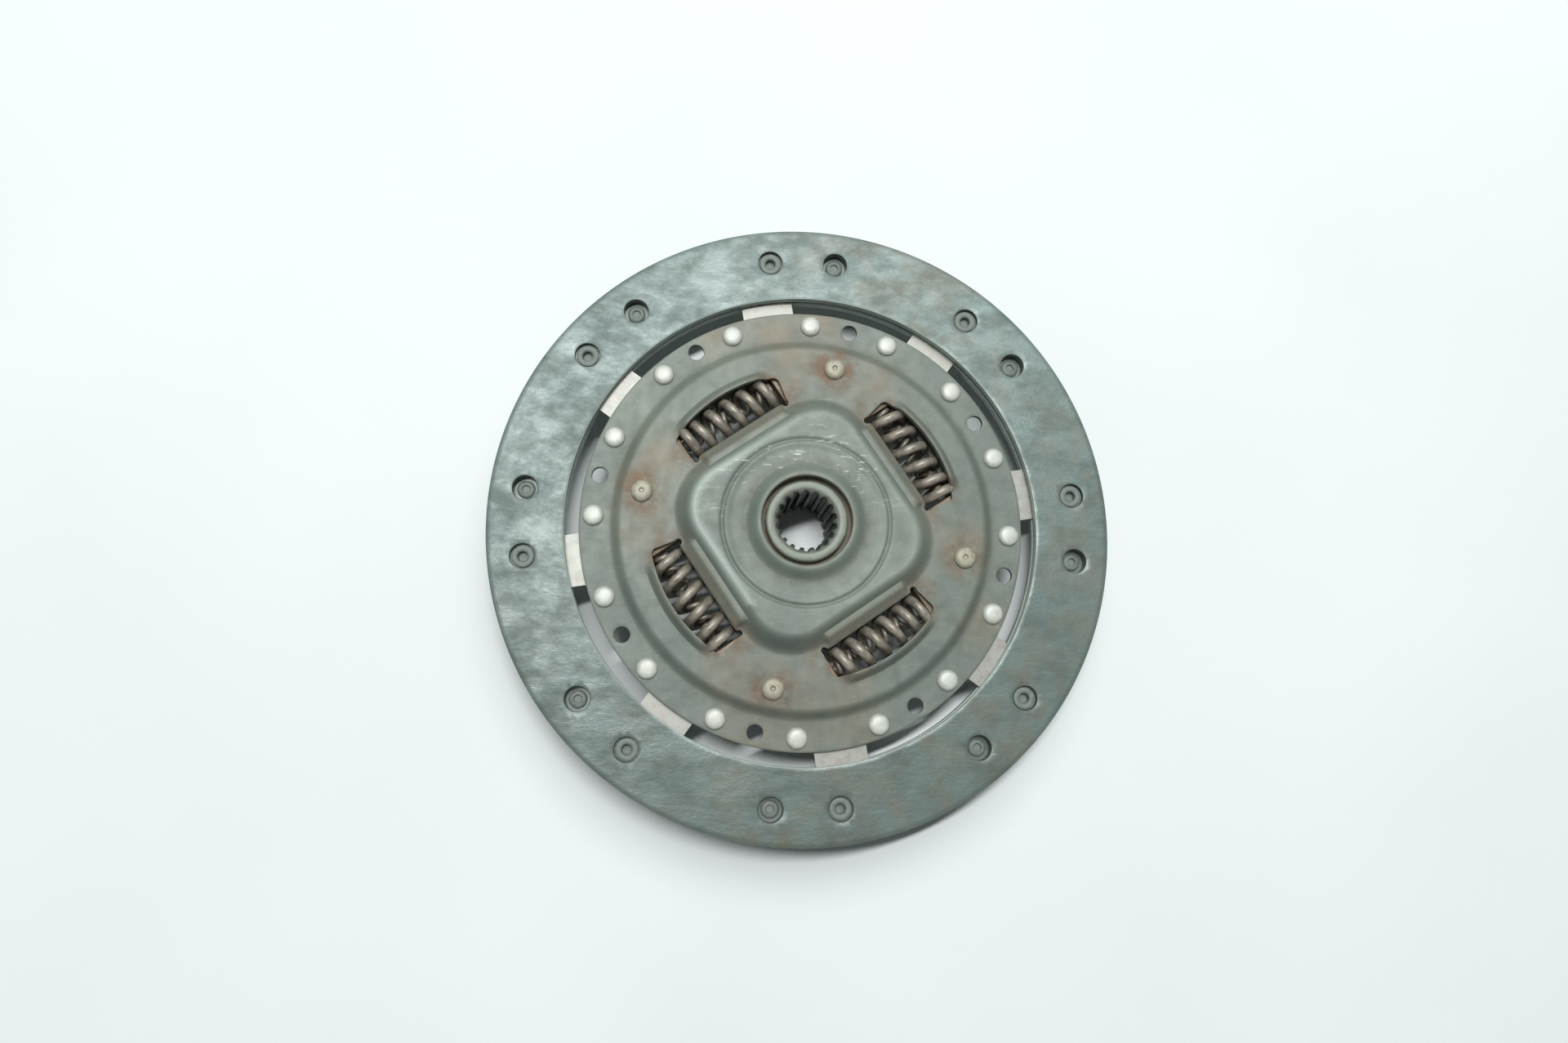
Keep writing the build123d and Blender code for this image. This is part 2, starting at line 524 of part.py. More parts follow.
os.makedirs("parts", exist_ok=True)
save("facing_front", facing(FRONT_RIVET_ANGLES, REAR_RIVET_ANGLES))
save("facing_rear", mirror(facing(REAR_RIVET_ANGLES, FRONT_RIVET_ANGLES), Plane.XY))
save("facing_rivets_front", facing_rivets(FRONT_RIVET_ANGLES))
save("facing_rivets_rear", mirror(facing_rivets(REAR_RIVET_ANGLES), Plane.XY))
for number, angle in enumerate(SEGMENT_ANGLES, 1):
    save(f"cushion_segment_{number}", cushion_segment(angle))
save("segment_rivets", segment_rivets())
save("drive_plate", drive_plate())
save("retainer_plate", retainer_plate())
save("stop_pins", stop_pins())
save("hub", hub())
for number, (angle, hand) in enumerate(zip(SPRING_ANGLES, SPRING_HANDS), 1):
    outer = (SPRING_OD, SPRING_WIRE, SPRING_TURNS, hand, WIRE_SIDES)
    inner = (INNER_SPRING_OD, INNER_SPRING_WIRE, INNER_SPRING_TURNS, -hand, INNER_WIRE_SIDES)
    save(f"damper_spring_{number}", coil(angle, *outer))
    save(f"inner_spring_{number}", coil(angle, *inner))
save("friction_ring", friction_ring())
save("diaphragm_spring", diaphragm_spring())
save("guide_bush", guide_bush())
save("rear_friction_bush", rear_friction_bush())
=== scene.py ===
from math import asin, cos, degrees, pi, radians, sin, sqrt

import bmesh
import bpy
import numpy as np
from mathutils import Matrix, Vector
from mathutils.geometry import delaunay_2d_cdt
from mathutils.kdtree import KDTree


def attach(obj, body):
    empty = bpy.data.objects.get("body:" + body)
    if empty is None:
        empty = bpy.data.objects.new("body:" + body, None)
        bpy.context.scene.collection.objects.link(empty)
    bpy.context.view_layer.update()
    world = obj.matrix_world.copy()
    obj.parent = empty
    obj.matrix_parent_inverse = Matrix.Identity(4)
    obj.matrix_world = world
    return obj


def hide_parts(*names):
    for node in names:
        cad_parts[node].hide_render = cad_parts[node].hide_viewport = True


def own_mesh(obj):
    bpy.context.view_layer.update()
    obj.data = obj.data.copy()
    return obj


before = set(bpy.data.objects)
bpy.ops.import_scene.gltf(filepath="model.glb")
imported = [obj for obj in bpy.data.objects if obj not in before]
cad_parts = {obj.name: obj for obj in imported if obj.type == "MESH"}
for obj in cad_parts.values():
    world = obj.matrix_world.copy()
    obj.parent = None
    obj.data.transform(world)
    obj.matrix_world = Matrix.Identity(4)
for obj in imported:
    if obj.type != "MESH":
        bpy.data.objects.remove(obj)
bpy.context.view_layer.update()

# Sizes are in millimetres until a mesh is made, where they become metres.
# Angles are in degrees, clockwise from +Y as seen from the front.
MM = 0.001

# Rows of segments, rivets, holes, pins and springs
FIRST_SEGMENT, SEGMENT_PITCH = -8.33, 45
SEGMENT_RIVET_HALF_ANGLE = 11.25
BLADE_LEAD, FACING_RIVET_HALF_ANGLE = 9.07, 6.99
FIRST_PIN, PIN_PITCH = 11.84, 90
SEGMENT_ANGLES = [FIRST_SEGMENT + SEGMENT_PITCH * k for k in range(8)]
SEGMENT_RIVET_ANGLES = [a + s * SEGMENT_RIVET_HALF_ANGLE for a in SEGMENT_ANGLES for s in (-1, 1)]
RELIEF_ANGLES = [a + SEGMENT_PITCH / 2 for a in SEGMENT_ANGLES]
FRONT_RIVET_ANGLES = [a + BLADE_LEAD - FACING_RIVET_HALF_ANGLE for a in SEGMENT_ANGLES]
REAR_RIVET_ANGLES = [a + BLADE_LEAD + FACING_RIVET_HALF_ANGLE for a in SEGMENT_ANGLES]
PIN_ANGLES = [FIRST_PIN + PIN_PITCH * k for k in range(4)]
SPRING_ANGLES = [a + PIN_PITCH / 2 for a in PIN_ANGLES]
SPRING_HANDS = (-1, 1, 1, 1)

# Facings
FACING_INNER, FACING_OUTER = 86.7, 114.0
FACING_BACK, FACING_FRONT = 0.8, 4.2
FACING_RIVET_RADIUS = 101.55
SEAT_RADIUS, SEAT_LEDGE, SHANK_HOLE = 4.45, 2.3, 2.25

# Drive plate. A slope is the pair of radii, or of insets from the dome's foot, between which it runs.
PLATE_RADIUS, COLLAR_RADIUS = 81.5, 16.3
SEGMENT_RIVET_RADIUS, RELIEF_HOLE = 76.5, 2.9
SHEET = 2.0
RIM_BACK, RIM_FRONT = 0.4, 2.4
ZONE_TOP, DOME_TOP = 5.2, 12.2
STEP_SLOPE, STEP_SLOPE_REAR = (66.4, 70.6), (65.0, 69.0)
DOME_FLAT, DOME_CORNER = 39.5, 47.0
DOME_WALL, DOME_WALL_REAR = (-0.9, 6.4), (0.7, 7.6)
DISH_SLOPE, DISH_DEPTH = (26.4, 29.6), 0.5
GROOVE_RADIUS, GROOVE_WIDTH, GROOVE_DEPTH = 30.3, 0.75, 0.75
COLLAR_SLOPE, COLLAR_RISE = (17.3, 21.9), 3.3
COLLAR_SLOPE_REAR, COLLAR_RISE_REAR = (17.3, 19.5), 1.2

# Spring windows, with the lip along the outer edge and the ledge along the inner one
WINDOW_INNER, WINDOW_OUTER, WINDOW_HALF = 42.1, 56.2, 20.6
WINDOW_SPLAY, WINDOW_CORNER = 0.12, 2.2
NOTCH_RADIUS, NOTCH_DEPTH, NOTCH_INSET, NOTCH_LEAD = 1.2, 1.6, 0.9, 1.6
LIP_RISE, LIP_RISE_REAR, LIP_ENDS = 3.3, 2.4, (15.5, 20.5)
LIP_SLOPE = (WINDOW_OUTER + 0.7, WINDOW_OUTER + 3.6)
LIP_SLOPE_REAR = (WINDOW_OUTER + 0.4, WINDOW_OUTER + 3.6)
LEDGE_TOP, LEDGE_FALL, LEDGE_FOOT, LEDGE_WIDTH = 9.0, 0.8, 38.5, 4
LEDGE_START, LEDGE_ENDS = 37.0, (16.2, 18.4)

# Springs, stop pins, hub and retainer plate
SPRING_RADIUS, SPRING_LENGTH, SPRING_KEEP = 49.3, 41.0, 0.69
FLANGE_FRONT, FLANGE_REAR, FLANGE_MID = 2.8, -2.2, 0.3
FLANGE_OUTER, FLANGE_NOTCH, FLANGE_BORE = 64.0, 56.0, 14.4
FLANGE_WINDOW_REACH = 9.0
PIN_RADIUS, PIN_SHOULDER, STOP_ANGLE = 60.2, 4.2, 12.0
HUB_RADIUS, HUB_FRONT, HUB_REAR = 14.85, 13.5, -19.5
SPLINE_TEETH, SPLINE_TIP, SPLINE_ROOT = 18, 9.5, 10.9
SPLINE_HALF_TIP, SPLINE_HALF_ROOT, SPLINE_ROUND = 1.06, 0.86, 0.15
RETAINER_RADIUS, RETAINER_FRONT, RETAINER_REAR = 66.0, -2.6, -4.6
RETAINER_DISH, RETAINER_SLOPE, RETAINER_SLOPE_REAR = 2.1, (33.6, 37.4), (34.6, 38.4)


# ---------------------------------------------------------------- plan geometry

def turned(points, angle):
    """Points drawn around +Y, turned to an angle."""
    a = radians(angle)
    p = np.asarray(points, float)
    x = p[:, 0] * cos(a) + p[:, 1] * sin(a)
    y = -p[:, 0] * sin(a) + p[:, 1] * cos(a)
    return np.column_stack([x, y, *p[:, 2:].T])


def spot(radius, angle):
    """Place on the plan at a radius and an angle."""
    return np.array([radius * sin(radians(angle)), radius * cos(radians(angle))])


def spots(radius, angles):
    return [spot(radius, a) for a in angles]


def circle(radius, count, centre=(0.0, 0.0)):
    turn = 2 * pi * np.arange(count) / count
    return np.column_stack([centre[0] + radius * np.cos(turn), centre[1] + radius * np.sin(turn)])


def level(ring, z):
    """A plan ring at one height."""
    return np.column_stack([ring, np.full(len(ring), z)])


def spaced(points, step):
    """The same closed outline with points at an even spacing."""
    p = np.asarray(points, float)
    closed = np.vstack([p, p[:1]])
    run = np.concatenate([[0], np.cumsum(np.linalg.norm(np.diff(closed, axis=0), axis=1))])
    at = np.linspace(0, run[-1], max(8, round(run[-1] / step)), endpoint=False)
    return np.column_stack([np.interp(at, run, closed[:, i]) for i in range(2)])


def offset(loop, distance):
    """Outline moved outwards by a distance. Its points run anticlockwise."""
    ahead, behind = np.roll(loop, -1, axis=0), np.roll(loop, 1, axis=0)
    along = ahead - behind
    along /= np.linalg.norm(along, axis=1)[:, None] + 1e-12
    return loop + distance * np.column_stack([along[:, 1], -along[:, 0]])


def anticlockwise(loop):
    x, y = loop[:, 0], loop[:, 1]
    area = np.sum(x * np.roll(y, -1) - np.roll(x, -1) * y)
    return loop if area > 0 else loop[::-1]


def ease(value, low, high):
    """Smooth step from 0 at the low value to 1 at the high one."""
    t = np.clip((value - low) / (high - low), 0, 1)
    return t * t * (3 - 2 * t)


def bell(value, middle, width):
    """One at the middle, falling smoothly to zero on both sides."""
    return np.exp(-(((value - middle) / width) ** 2))


def reach_of(p):
    """Distance of plan points from the disc's axis."""
    return np.linalg.norm(p, axis=1)


def angle_of(p):
    """Angle of plan points around the disc's axis."""
    return np.degrees(np.arctan2(p[:, 0], p[:, 1]))


def inside(points, loop):
    """Which points of the plan lie inside a closed outline."""
    low, high = loop.min(0), loop.max(0)
    near = np.all((points >= low) & (points <= high), axis=1)
    x, y = points[near, 0], points[near, 1]
    found = np.zeros(len(x), bool)
    for (x0, y0), (x1, y1) in zip(loop, np.roll(loop, -1, axis=0)):
        if y0 != y1:
            found ^= ((y0 > y) != (y1 > y)) & (x < (x1 - x0) * (y - y0) / (y1 - y0) + x0)
    result = np.zeros(len(points), bool)
    result[near] = found
    return result


def rings_grid(radii, step):
    """Points on circles. Circles of nearly the same radius have the same number of points."""
    points = []
    for radius in radii:
        count = 8 * max(6, round(2 * pi * max(16, 16 * round(radius / 16)) / step / 8))
        points.append(circle(radius, count))
    return np.vstack(points)


# ---------------------------------------------------------------- meshes

class Builder:
    """Collects the vertices and faces of one mesh."""

    def __init__(self):
        self.points, self.faces = [], []

    def add(self, points):
        first = len(self.points)
        self.points.extend(map(tuple, points))
        return list(range(first, len(self.points)))

    def band(self, lower, upper):
        """Faces between two closed rings with the same number of points."""
        count = len(lower)
        for k in range(count):
            n = (k + 1) % count
            self.faces.append((lower[k], lower[n], upper[n], upper[k]))

    def mesh(self, name, sharp=38):
        """The finished object, shaded smooth but for edges over the sharp angle."""
        data = bpy.data.meshes.new(name)
        data.from_pydata([tuple(MM * c for c in p) for p in self.points], [], self.faces)
        work = bmesh.new()
        work.from_mesh(data)
        bmesh.ops.recalc_face_normals(work, faces=work.faces)
        work.to_mesh(data)
        work.free()
        data.shade_smooth()
        data.set_sharp_from_angle(angle=radians(sharp))
        piece = bpy.data.objects.new(name, data)
        bpy.context.scene.collection.objects.link(piece)
        return piece

    def cover(self, rings, ring_ids, grid, height, gap):
        """Triangulated surface between the first ring and the others, through the grid points."""
        grid = grid[inside(grid, rings[0])]
        for ring in rings[1:]:
            grid = grid[~inside(grid, ring)]
        edge_points = np.vstack(rings)
        tree = KDTree(len(edge_points))
        for k, (x, y) in enumerate(edge_points):
            tree.insert((x, y, 0), k)
        tree.balance()
        grid = np.array([p for p in grid if tree.find((p[0], p[1], 0))[2] > gap])
        grid = grid.reshape(-1, 2)
        ids = [i for ring in ring_ids for i in ring]
        ids += self.add(np.column_stack([grid, height(grid)])) if len(grid) else []
        edges, first = [], 0
        for ring in rings:
            edges += [(first + k, first + (k + 1) % len(ring)) for k in range(len(ring))]
            first += len(ring)
        flat_points = [Vector(p) for p in np.vstack([edge_points, grid])]
        made, _, triangles, origin, _, _ = delaunay_2d_cdt(flat_points, edges, [], 1, 1e-6)
        corner = [ids[o[0]] if o else None for o in origin]
        made = np.array(made)
        middles = made[np.array(triangles)].mean(axis=1)
        kept = inside(middles, rings[0])
        for ring in rings[1:]:
            kept &= ~inside(middles, ring)
        for triangle, keep in zip(triangles, kept):
            if keep and None not in [corner[k] for k in triangle]:
                self.faces.append(tuple(corner[k] for k in triangle))

    def sheet(self, stacks, top, bottom, top_grid, bottom_grid, gap=0.3):
        """Plate between two surfaces.

        Each stack of rings runs from top to bottom over one edge, and the first is the outer edge.
        """
        ids = [[self.add(ring) for ring in stack] for stack in stacks]
        for side, height, grid in ((0, top, top_grid), (-1, bottom, bottom_grid)):
            rings = [stack[side][:, :2] for stack in stacks]
            self.cover(rings, [i[side] for i in ids], grid, height, gap)
        for stack_ids in ids:
            for upper, lower in zip(stack_ids, stack_ids[1:]):
                self.band(lower, upper)

    def lathe(self, profile, count, centre=(0.0, 0.0)):
        """Turned shape from (radius, height) points. A radius of zero closes it with one point."""
        rows = []
        for radius, z in profile:
            if radius == 0:
                rows.append(self.add([(centre[0], centre[1], z)]))
            else:
                rows.append(self.add(level(circle(radius, count, centre), z)))
        for a, b in zip(rows, rows[1:]):
            if len(a) == 1 or len(b) == 1:
                tip, ring = (a[0], b) if len(a) == 1 else (b[0], a)
                self.faces += [(tip, ring[k], ring[(k + 1) % count]) for k in range(count)]
            else:
                self.band(a, b)

    def tube(self, path, radius, sides):
        """Round wire along a path, closed at both ends."""
        path = np.asarray(path, float)
        tangents = np.gradient(path, axis=0)
        tangents /= np.linalg.norm(tangents, axis=1)[:, None]
        normal = np.cross(tangents[0], (1, 0, 0))
        turn = 2 * pi * np.arange(sides) / sides
        rows = []
        for point, tangent in zip(path, tangents):
            normal = normal - tangent * np.dot(normal, tangent)
            normal /= np.linalg.norm(normal)
            other = np.cross(tangent, normal)
            across = np.outer(np.cos(turn), normal) + np.outer(np.sin(turn), other)
            rows.append(self.add(point + radius * across))
        for a, b in zip(rows, rows[1:]):
            self.band(a, b)
        self.faces += [tuple(rows[0][::-1]), tuple(rows[-1])]


def plan(piece):
    """Plan places and heights of a mesh's points, in millimetres."""
    data = np.zeros(len(piece.data.vertices) * 3)
    piece.data.vertices.foreach_get("co", data)
    data = data.reshape(-1, 3) / MM
    return data[:, :2], data[:, 2]


def paint(piece, name, values):
    """Stores a mask on the mesh for its material."""
    layer = piece.data.attributes.new(name, "FLOAT", "POINT")
    layer.data.foreach_set("value", np.clip(values, 0, 1).astype(np.float32))


def place(piece, body, material, slot, *nodes):
    """Gives a piece its material and body, and hides the nodes that it stands for. The slot is not used.
    """
    piece.data.materials.append(material)
    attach(piece, body)
    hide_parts(*nodes)


# ---------------------------------------------------------------- plate shapes

DOME_CORNER_RADIUS = (DOME_FLAT * sqrt(2) - DOME_CORNER) / (sqrt(2) - 1)
DOME_CORNER_MIDDLE = DOME_FLAT - DOME_CORNER_RADIUS


def dome_inset(p):
    """How far a plan point lies inside the dome's foot."""
    q = np.abs(turned(p, -SPRING_ANGLES[0])) - DOME_CORNER_MIDDLE
    outside = reach_of(np.maximum(q, 0))
    return DOME_CORNER_RADIUS - outside - np.minimum(np.maximum(q[:, 0], q[:, 1]), 0)


def dome_loop(inset, step):
    """The dome's outline at an inset from its foot."""
    loop = []
    for quarter in range(4):
        diagonal = pi / 4 + pi / 2 * quarter
        middle = DOME_CORNER_MIDDLE * sqrt(2) * np.array([cos(diagonal), sin(diagonal)])
        for k in range(25):
            t = pi / 2 * (quarter + k / 24)
            loop.append(middle + (DOME_CORNER_RADIUS - inset) * np.array([cos(t), sin(t)]))
    return turned(spaced(loop, step), SPRING_ANGLES[0])


def window_loop():
    """Spring window around +Y, with deep round notches at its inner corners."""
    low = WINDOW_INNER - NOTCH_DEPTH + NOTCH_RADIUS
    notch = [(WINDOW_HALF - NOTCH_LEAD - NOTCH_RADIUS, WINDOW_INNER)]
    notch += [(WINDOW_HALF - NOTCH_INSET + NOTCH_RADIUS * cos(t), low + NOTCH_RADIUS * sin(t))
              for t in np.linspace(-pi, 0.2 * pi, 14)]
    half = WINDOW_HALF + WINDOW_SPLAY * (WINDOW_OUTER - WINDOW_INNER)
    corner_reach = WINDOW_OUTER - WINDOW_CORNER
    edge = degrees(asin((half - WINDOW_CORNER) / corner_reach))
    centre = np.array([half - WINDOW_CORNER, corner_reach * cos(radians(edge))])
    corner = [centre + WINDOW_CORNER * np.array([cos(t), sin(t)])
              for t in np.linspace(0, radians(90 - edge), 7)]
    arc = spots(WINDOW_OUTER, np.linspace(edge, -edge, 30)[1:-1])
    mirrored = [(-x, y) for side in (corner, notch) for x, y in side[::-1]]
    return anticlockwise(spaced([*notch, *corner, *arc, *mirrored], 0.7))


def stack_for(loop, top, bottom, soft, inward):
    """Rings over an edge of a plate, with a small round at the top and bottom."""
    away = -soft if inward else soft
    wide = offset(loop, away)
    mid = offset(loop, 0.3 * away)
    high, low = top(loop), bottom(loop)
    return [
        np.column_stack([wide, top(wide)]),
        np.column_stack([mid, high - 0.3 * soft]),
        np.column_stack([loop, high - soft]),
        np.column_stack([loop, low + soft]),
        np.column_stack([wide, bottom(wide)]),
    ]


def window_distance(p):
    """Distance to the nearest spring window, and how near its ends the point lies."""
    end_reach = 7
    best, ends = np.full(len(p), 99.0), np.zeros(len(p))
    for angle in SPRING_ANGLES:
        q = turned(p, -angle)
        dx = np.abs(q[:, 0]) - WINDOW_HALF
        past_outer = np.where(q[:, 1] > 0, reach_of(q) - WINDOW_OUTER, 99)
        dy = np.maximum(WINDOW_INNER - q[:, 1], past_outer)
        d = np.hypot(np.maximum(dx, 0), np.maximum(dy, 0))
        ends = np.where(d < best, np.clip((dx + end_reach) / end_reach, 0, 1), ends)
        best = np.minimum(best, d)
    return best, ends


def near_places(p, places, low, high):
    """One at each place, falling to zero between two distances from it."""
    value = np.zeros(len(p))
    for centre in places:
        value = np.maximum(value, 1 - ease(reach_of(p - centre), low, high))
    return value


def window_forms(p):
    """Shares of the lip along a window's outer edge and of the ledge along its inner edge."""
    r = reach_of(p)
    lip, ledge = np.zeros(len(p)), np.zeros(len(p))
    for angle in SPRING_ANGLES:
        q = turned(p, -angle)
        outside = (r > WINDOW_OUTER - 1.0) * (q[:, 1] > 0)
        lip = np.maximum(lip, (1 - ease(np.abs(angle_of(q)), *LIP_ENDS)) * outside)
        near = (q[:, 1] > LEDGE_START) & (q[:, 1] < WINDOW_INNER + 0.8)
        ledge = np.maximum(ledge, near * (1 - ease(np.abs(q[:, 0]), *LEDGE_ENDS)))
    return lip, ledge


def ledge_height(p):
    """The ledges slope down from the dome's wall to the windows."""
    foot = np.max([turned(p, -a)[:, 1] for a in SPRING_ANGLES], axis=0)
    return LEDGE_TOP - LEDGE_FALL * np.clip(foot - LEDGE_FOOT, 0, LEDGE_WIDTH)


def drive_top(p):
    """Front surface of the pressed drive plate."""
    r = reach_of(p)
    z = RIM_FRONT + (ZONE_TOP - RIM_FRONT) * (1 - ease(r, *STEP_SLOPE))
    z += (DOME_TOP - ZONE_TOP) * ease(dome_inset(p), *DOME_WALL)
    z -= DISH_DEPTH * (1 - ease(r, *DISH_SLOPE))
    z -= GROOVE_DEPTH * bell(r, GROOVE_RADIUS, GROOVE_WIDTH)
    z += COLLAR_RISE * (1 - ease(r, *COLLAR_SLOPE))
    lip, ledge = window_forms(p)
    z += LIP_RISE * lip * (1 - ease(r, *LIP_SLOPE))
    return np.where(ledge > 0, np.maximum(z, z + (ledge_height(p) - z) * ledge), z)


def drive_bottom(p):
    """Rear surface, one sheet thickness behind the front one."""
    r = reach_of(p)
    z = RIM_BACK + (ZONE_TOP - RIM_FRONT) * (1 - ease(r, *STEP_SLOPE_REAR))
    z += (DOME_TOP - ZONE_TOP) * ease(dome_inset(p), *DOME_WALL_REAR)
    lip, ledge = window_forms(p)
    z += LIP_RISE_REAR * lip * (1 - ease(r, *LIP_SLOPE_REAR))
    z = np.where(ledge > 0, np.maximum(z, z + (ledge_height(p) - SHEET - z) * ledge), z)
    return z + COLLAR_RISE_REAR * (1 - ease(r, *COLLAR_SLOPE_REAR))


def plate_stacks(radius, points, top, bottom, collar_points, collar_soft):
    """Edges that both plates have: rim, collar hole and spring windows."""
    stacks = [stack_for(circle(radius, points), top, bottom, 0.3, True)]
    stacks.append(stack_for(circle(COLLAR_RADIUS, collar_points), top, bottom, collar_soft, False))
    window = window_loop()
    for angle in SPRING_ANGLES:
        stacks.append(stack_for(turned(window, angle), top, bottom, 0.25, False))
    return stacks


def build_drive_plate():
    b = Builder()
    stacks = plate_stacks(PLATE_RADIUS, 480, drive_top, drive_bottom, 144, 0.35)
    for angle in RELIEF_ANGLES:
        hole = circle(RELIEF_HOLE, 36, spot(SEGMENT_RIVET_RADIUS, angle))
        stacks.append(stack_for(hole, drive_top, drive_bottom, 0.2, False))

    collar = rings_grid([17.0, 17.4, 17.8, 18.3, 18.9, 19.5, 20.1, 20.7, 21.3, 21.9, 22.6, 23.6,
                         24.8, 26.0, 26.6, 27.2, 27.8, 28.4, 29.0, 29.3, 29.6, 29.9, 30.2, 30.5,
                         30.8, 31.1, 31.4, 31.8], 1.1)
    crown = rings_grid([32.4, 33.2, 34.4, 36.0, 38.0], 1.2)
    crown = crown[dome_inset(crown) > 7.8]
    insets = [7.4, 6.8, 6.3, 5.8, 5.3, 4.8, 4.2, 3.6, 3.0, 2.4, 1.8, 1.3, 0.8, 0.4, 0.0, -0.4,
              -0.9, -1.5]
    wall = np.vstack([dome_loop(i, 1.1) for i in insets])
    wall = wall[window_forms(wall)[1] == 0]
    across, along = np.arange(-20, 20.1, 0.8), np.arange(38.0, 42.0, 0.6)
    ledge = np.stack(np.meshgrid(across, along), axis=-1).reshape(-1, 2)
    ledges = np.vstack([turned(ledge, a) for a in SPRING_ANGLES])
    zone = rings_grid(np.arange(40.0, 66.0, 0.7), 1.0)
    zone = zone[dome_inset(zone) < -2.1]
    rim = rings_grid([66.2, 66.8, 67.3, 67.8, 68.3, 68.8, 69.3, 69.8, 70.3, 70.8, 71.6, 73, 75,
                      77, 79, 80.6], 1.3)
    top_grid = np.vstack([collar, crown, wall, ledges, zone, rim])

    rear_rings = rings_grid([17.6, 18.4, 19.4, 24, 30, 64, 65, 66, 67, 68, 69, 70, 73, 77, 80], 2.4)
    rear_insets = (8.4, 7.4, 6.4, 5.4, 4.4, 3.4, 2.4, 1.4, 0.4, -0.6)
    rear_wall = np.vstack([dome_loop(i, 2.4) for i in rear_insets])
    b.sheet(stacks, drive_top, drive_bottom, top_grid, np.vstack([rear_rings, rear_wall]))
    return b.mesh("drive_plate_body")


def flat(z):
    """A level surface."""
    return lambda p: np.full(len(p), float(z))


def build_retainer():
    b = Builder()

    def front(p):
        return RETAINER_FRONT - RETAINER_DISH * (1 - ease(reach_of(p), *RETAINER_SLOPE))

    def rear(p):
        return RETAINER_REAR - RETAINER_DISH * (1 - ease(reach_of(p), *RETAINER_SLOPE_REAR))

    stacks = plate_stacks(RETAINER_RADIUS, 360, front, rear, 120, 0.3)
    grid = rings_grid([17.4, 20, 24, 28, 31, 32.6, 33.4, 34, 34.6, 35.2, 35.8, 36.4, 37, 37.6,
                       38.4, 39.2, 41, 44, 48, 52, 56, 60, 63, 65], 2.0)
    b.sheet(stacks, front, rear, grid, grid)
    return b.mesh("retainer_plate_body")


# ---------------------------------------------------------------- hub

def spline_loop():
    """Internal spline outline: grooves cut outwards from the tooth tips."""
    middle_reach = 0.5 * (SPLINE_TIP + SPLINE_ROOT)
    middle_half = 0.5 * (SPLINE_HALF_TIP + SPLINE_HALF_ROOT)
    shoulder = SPLINE_ROOT - SPLINE_ROUND
    flank = [(SPLINE_TIP, -SPLINE_HALF_TIP), (middle_reach, -middle_half),
             (shoulder, -SPLINE_HALF_ROOT), (SPLINE_ROOT, -SPLINE_HALF_ROOT + SPLINE_ROUND)]
    groove = flank + [(SPLINE_ROOT, 0)] + [(r, -w) for r, w in flank[::-1]]
    loop = []
    for k in range(SPLINE_TEETH):
        middle = 2 * pi * k / SPLINE_TEETH + pi / 2
        for r, w in groove:
            loop.append((r * cos(middle) - w * sin(middle), r * sin(middle) + w * cos(middle)))
        tooth = middle + pi / SPLINE_TEETH
        loop.append((SPLINE_TIP * cos(tooth), SPLINE_TIP * sin(tooth)))
    return np.array(loop)


HUB_PROFILE = [
    (14.05, HUB_FRONT), (14.35, HUB_FRONT - 0.12), (HUB_RADIUS - 0.08, HUB_FRONT - 0.75),
    (HUB_RADIUS, HUB_FRONT - 1.0), (HUB_RADIUS, HUB_REAR + 1.0), (HUB_RADIUS - 0.08, HUB_REAR + 0.75),
    (14.05, HUB_REAR), (11.9, HUB_REAR), (11.3, HUB_REAR + 0.6), (10.6, HUB_REAR + 1.1),
    (9.0, HUB_REAR + 2.2), (9.0, HUB_FRONT - 2.2), (10.6, HUB_FRONT - 1.1), (11.3, HUB_FRONT - 0.6),
    (11.75, HUB_FRONT - 0.12), (12.0, HUB_FRONT),
]


def flange_outline():
    """The flange's rim with a notch around each stop pin."""
    half = STOP_ANGLE + degrees(PIN_SHOULDER / PIN_RADIUS)
    outline = []
    for pin in PIN_ANGLES:
        start, end = pin + PIN_PITCH - half, pin + PIN_PITCH + half
        outline += spots(FLANGE_OUTER, np.linspace(pin + half, start, 40))
        outline += [spot(r, start) for r in (61.5, 58.5)]
        outline += spots(FLANGE_NOTCH, np.linspace(start + 1, end - 1, 22))
        outline += [spot(r, end) for r in (58.5, 61.5)]
    return anticlockwise(spaced(outline, 1.4))


def build_hub():
    b = Builder()
    spline = spline_loop()
    turn = np.arctan2(spline[:, 1], spline[:, 0])
    spline_reach = reach_of(spline)
    rows = []
    for radius, z in HUB_PROFILE:
        r = np.maximum(radius, spline_reach) if radius < 11 else np.full(len(turn), radius)
        rows.append(b.add(level(np.column_stack([r * np.cos(turn), r * np.sin(turn)]), z)))
    for a, c in zip(rows, rows[1:] + rows[:1]):
        b.band(a, c)

    front, rear = flat(FLANGE_FRONT), flat(FLANGE_REAR)
    stacks = [stack_for(flange_outline(), front, rear, 0.3, True)]
    stacks.append(stack_for(circle(FLANGE_BORE, 72), front, rear, 0.1, False))
    low, high = SPRING_RADIUS - FLANGE_WINDOW_REACH, SPRING_RADIUS + FLANGE_WINDOW_REACH
    window = [(-WINDOW_HALF, low), (WINDOW_HALF, low), (WINDOW_HALF, high), (-WINDOW_HALF, high)]
    for angle in SPRING_ANGLES:
        loop = anticlockwise(spaced(turned(window, angle), 1.4))
        stacks.append(stack_for(loop, front, rear, 0.25, False))
    grid = rings_grid(np.arange(18, 63, 4.0), 4.0)
    b.sheet(stacks, front, rear, grid, grid)
    return b.mesh("hub_body")


# ---------------------------------------------------------------- facings, rivets and springs

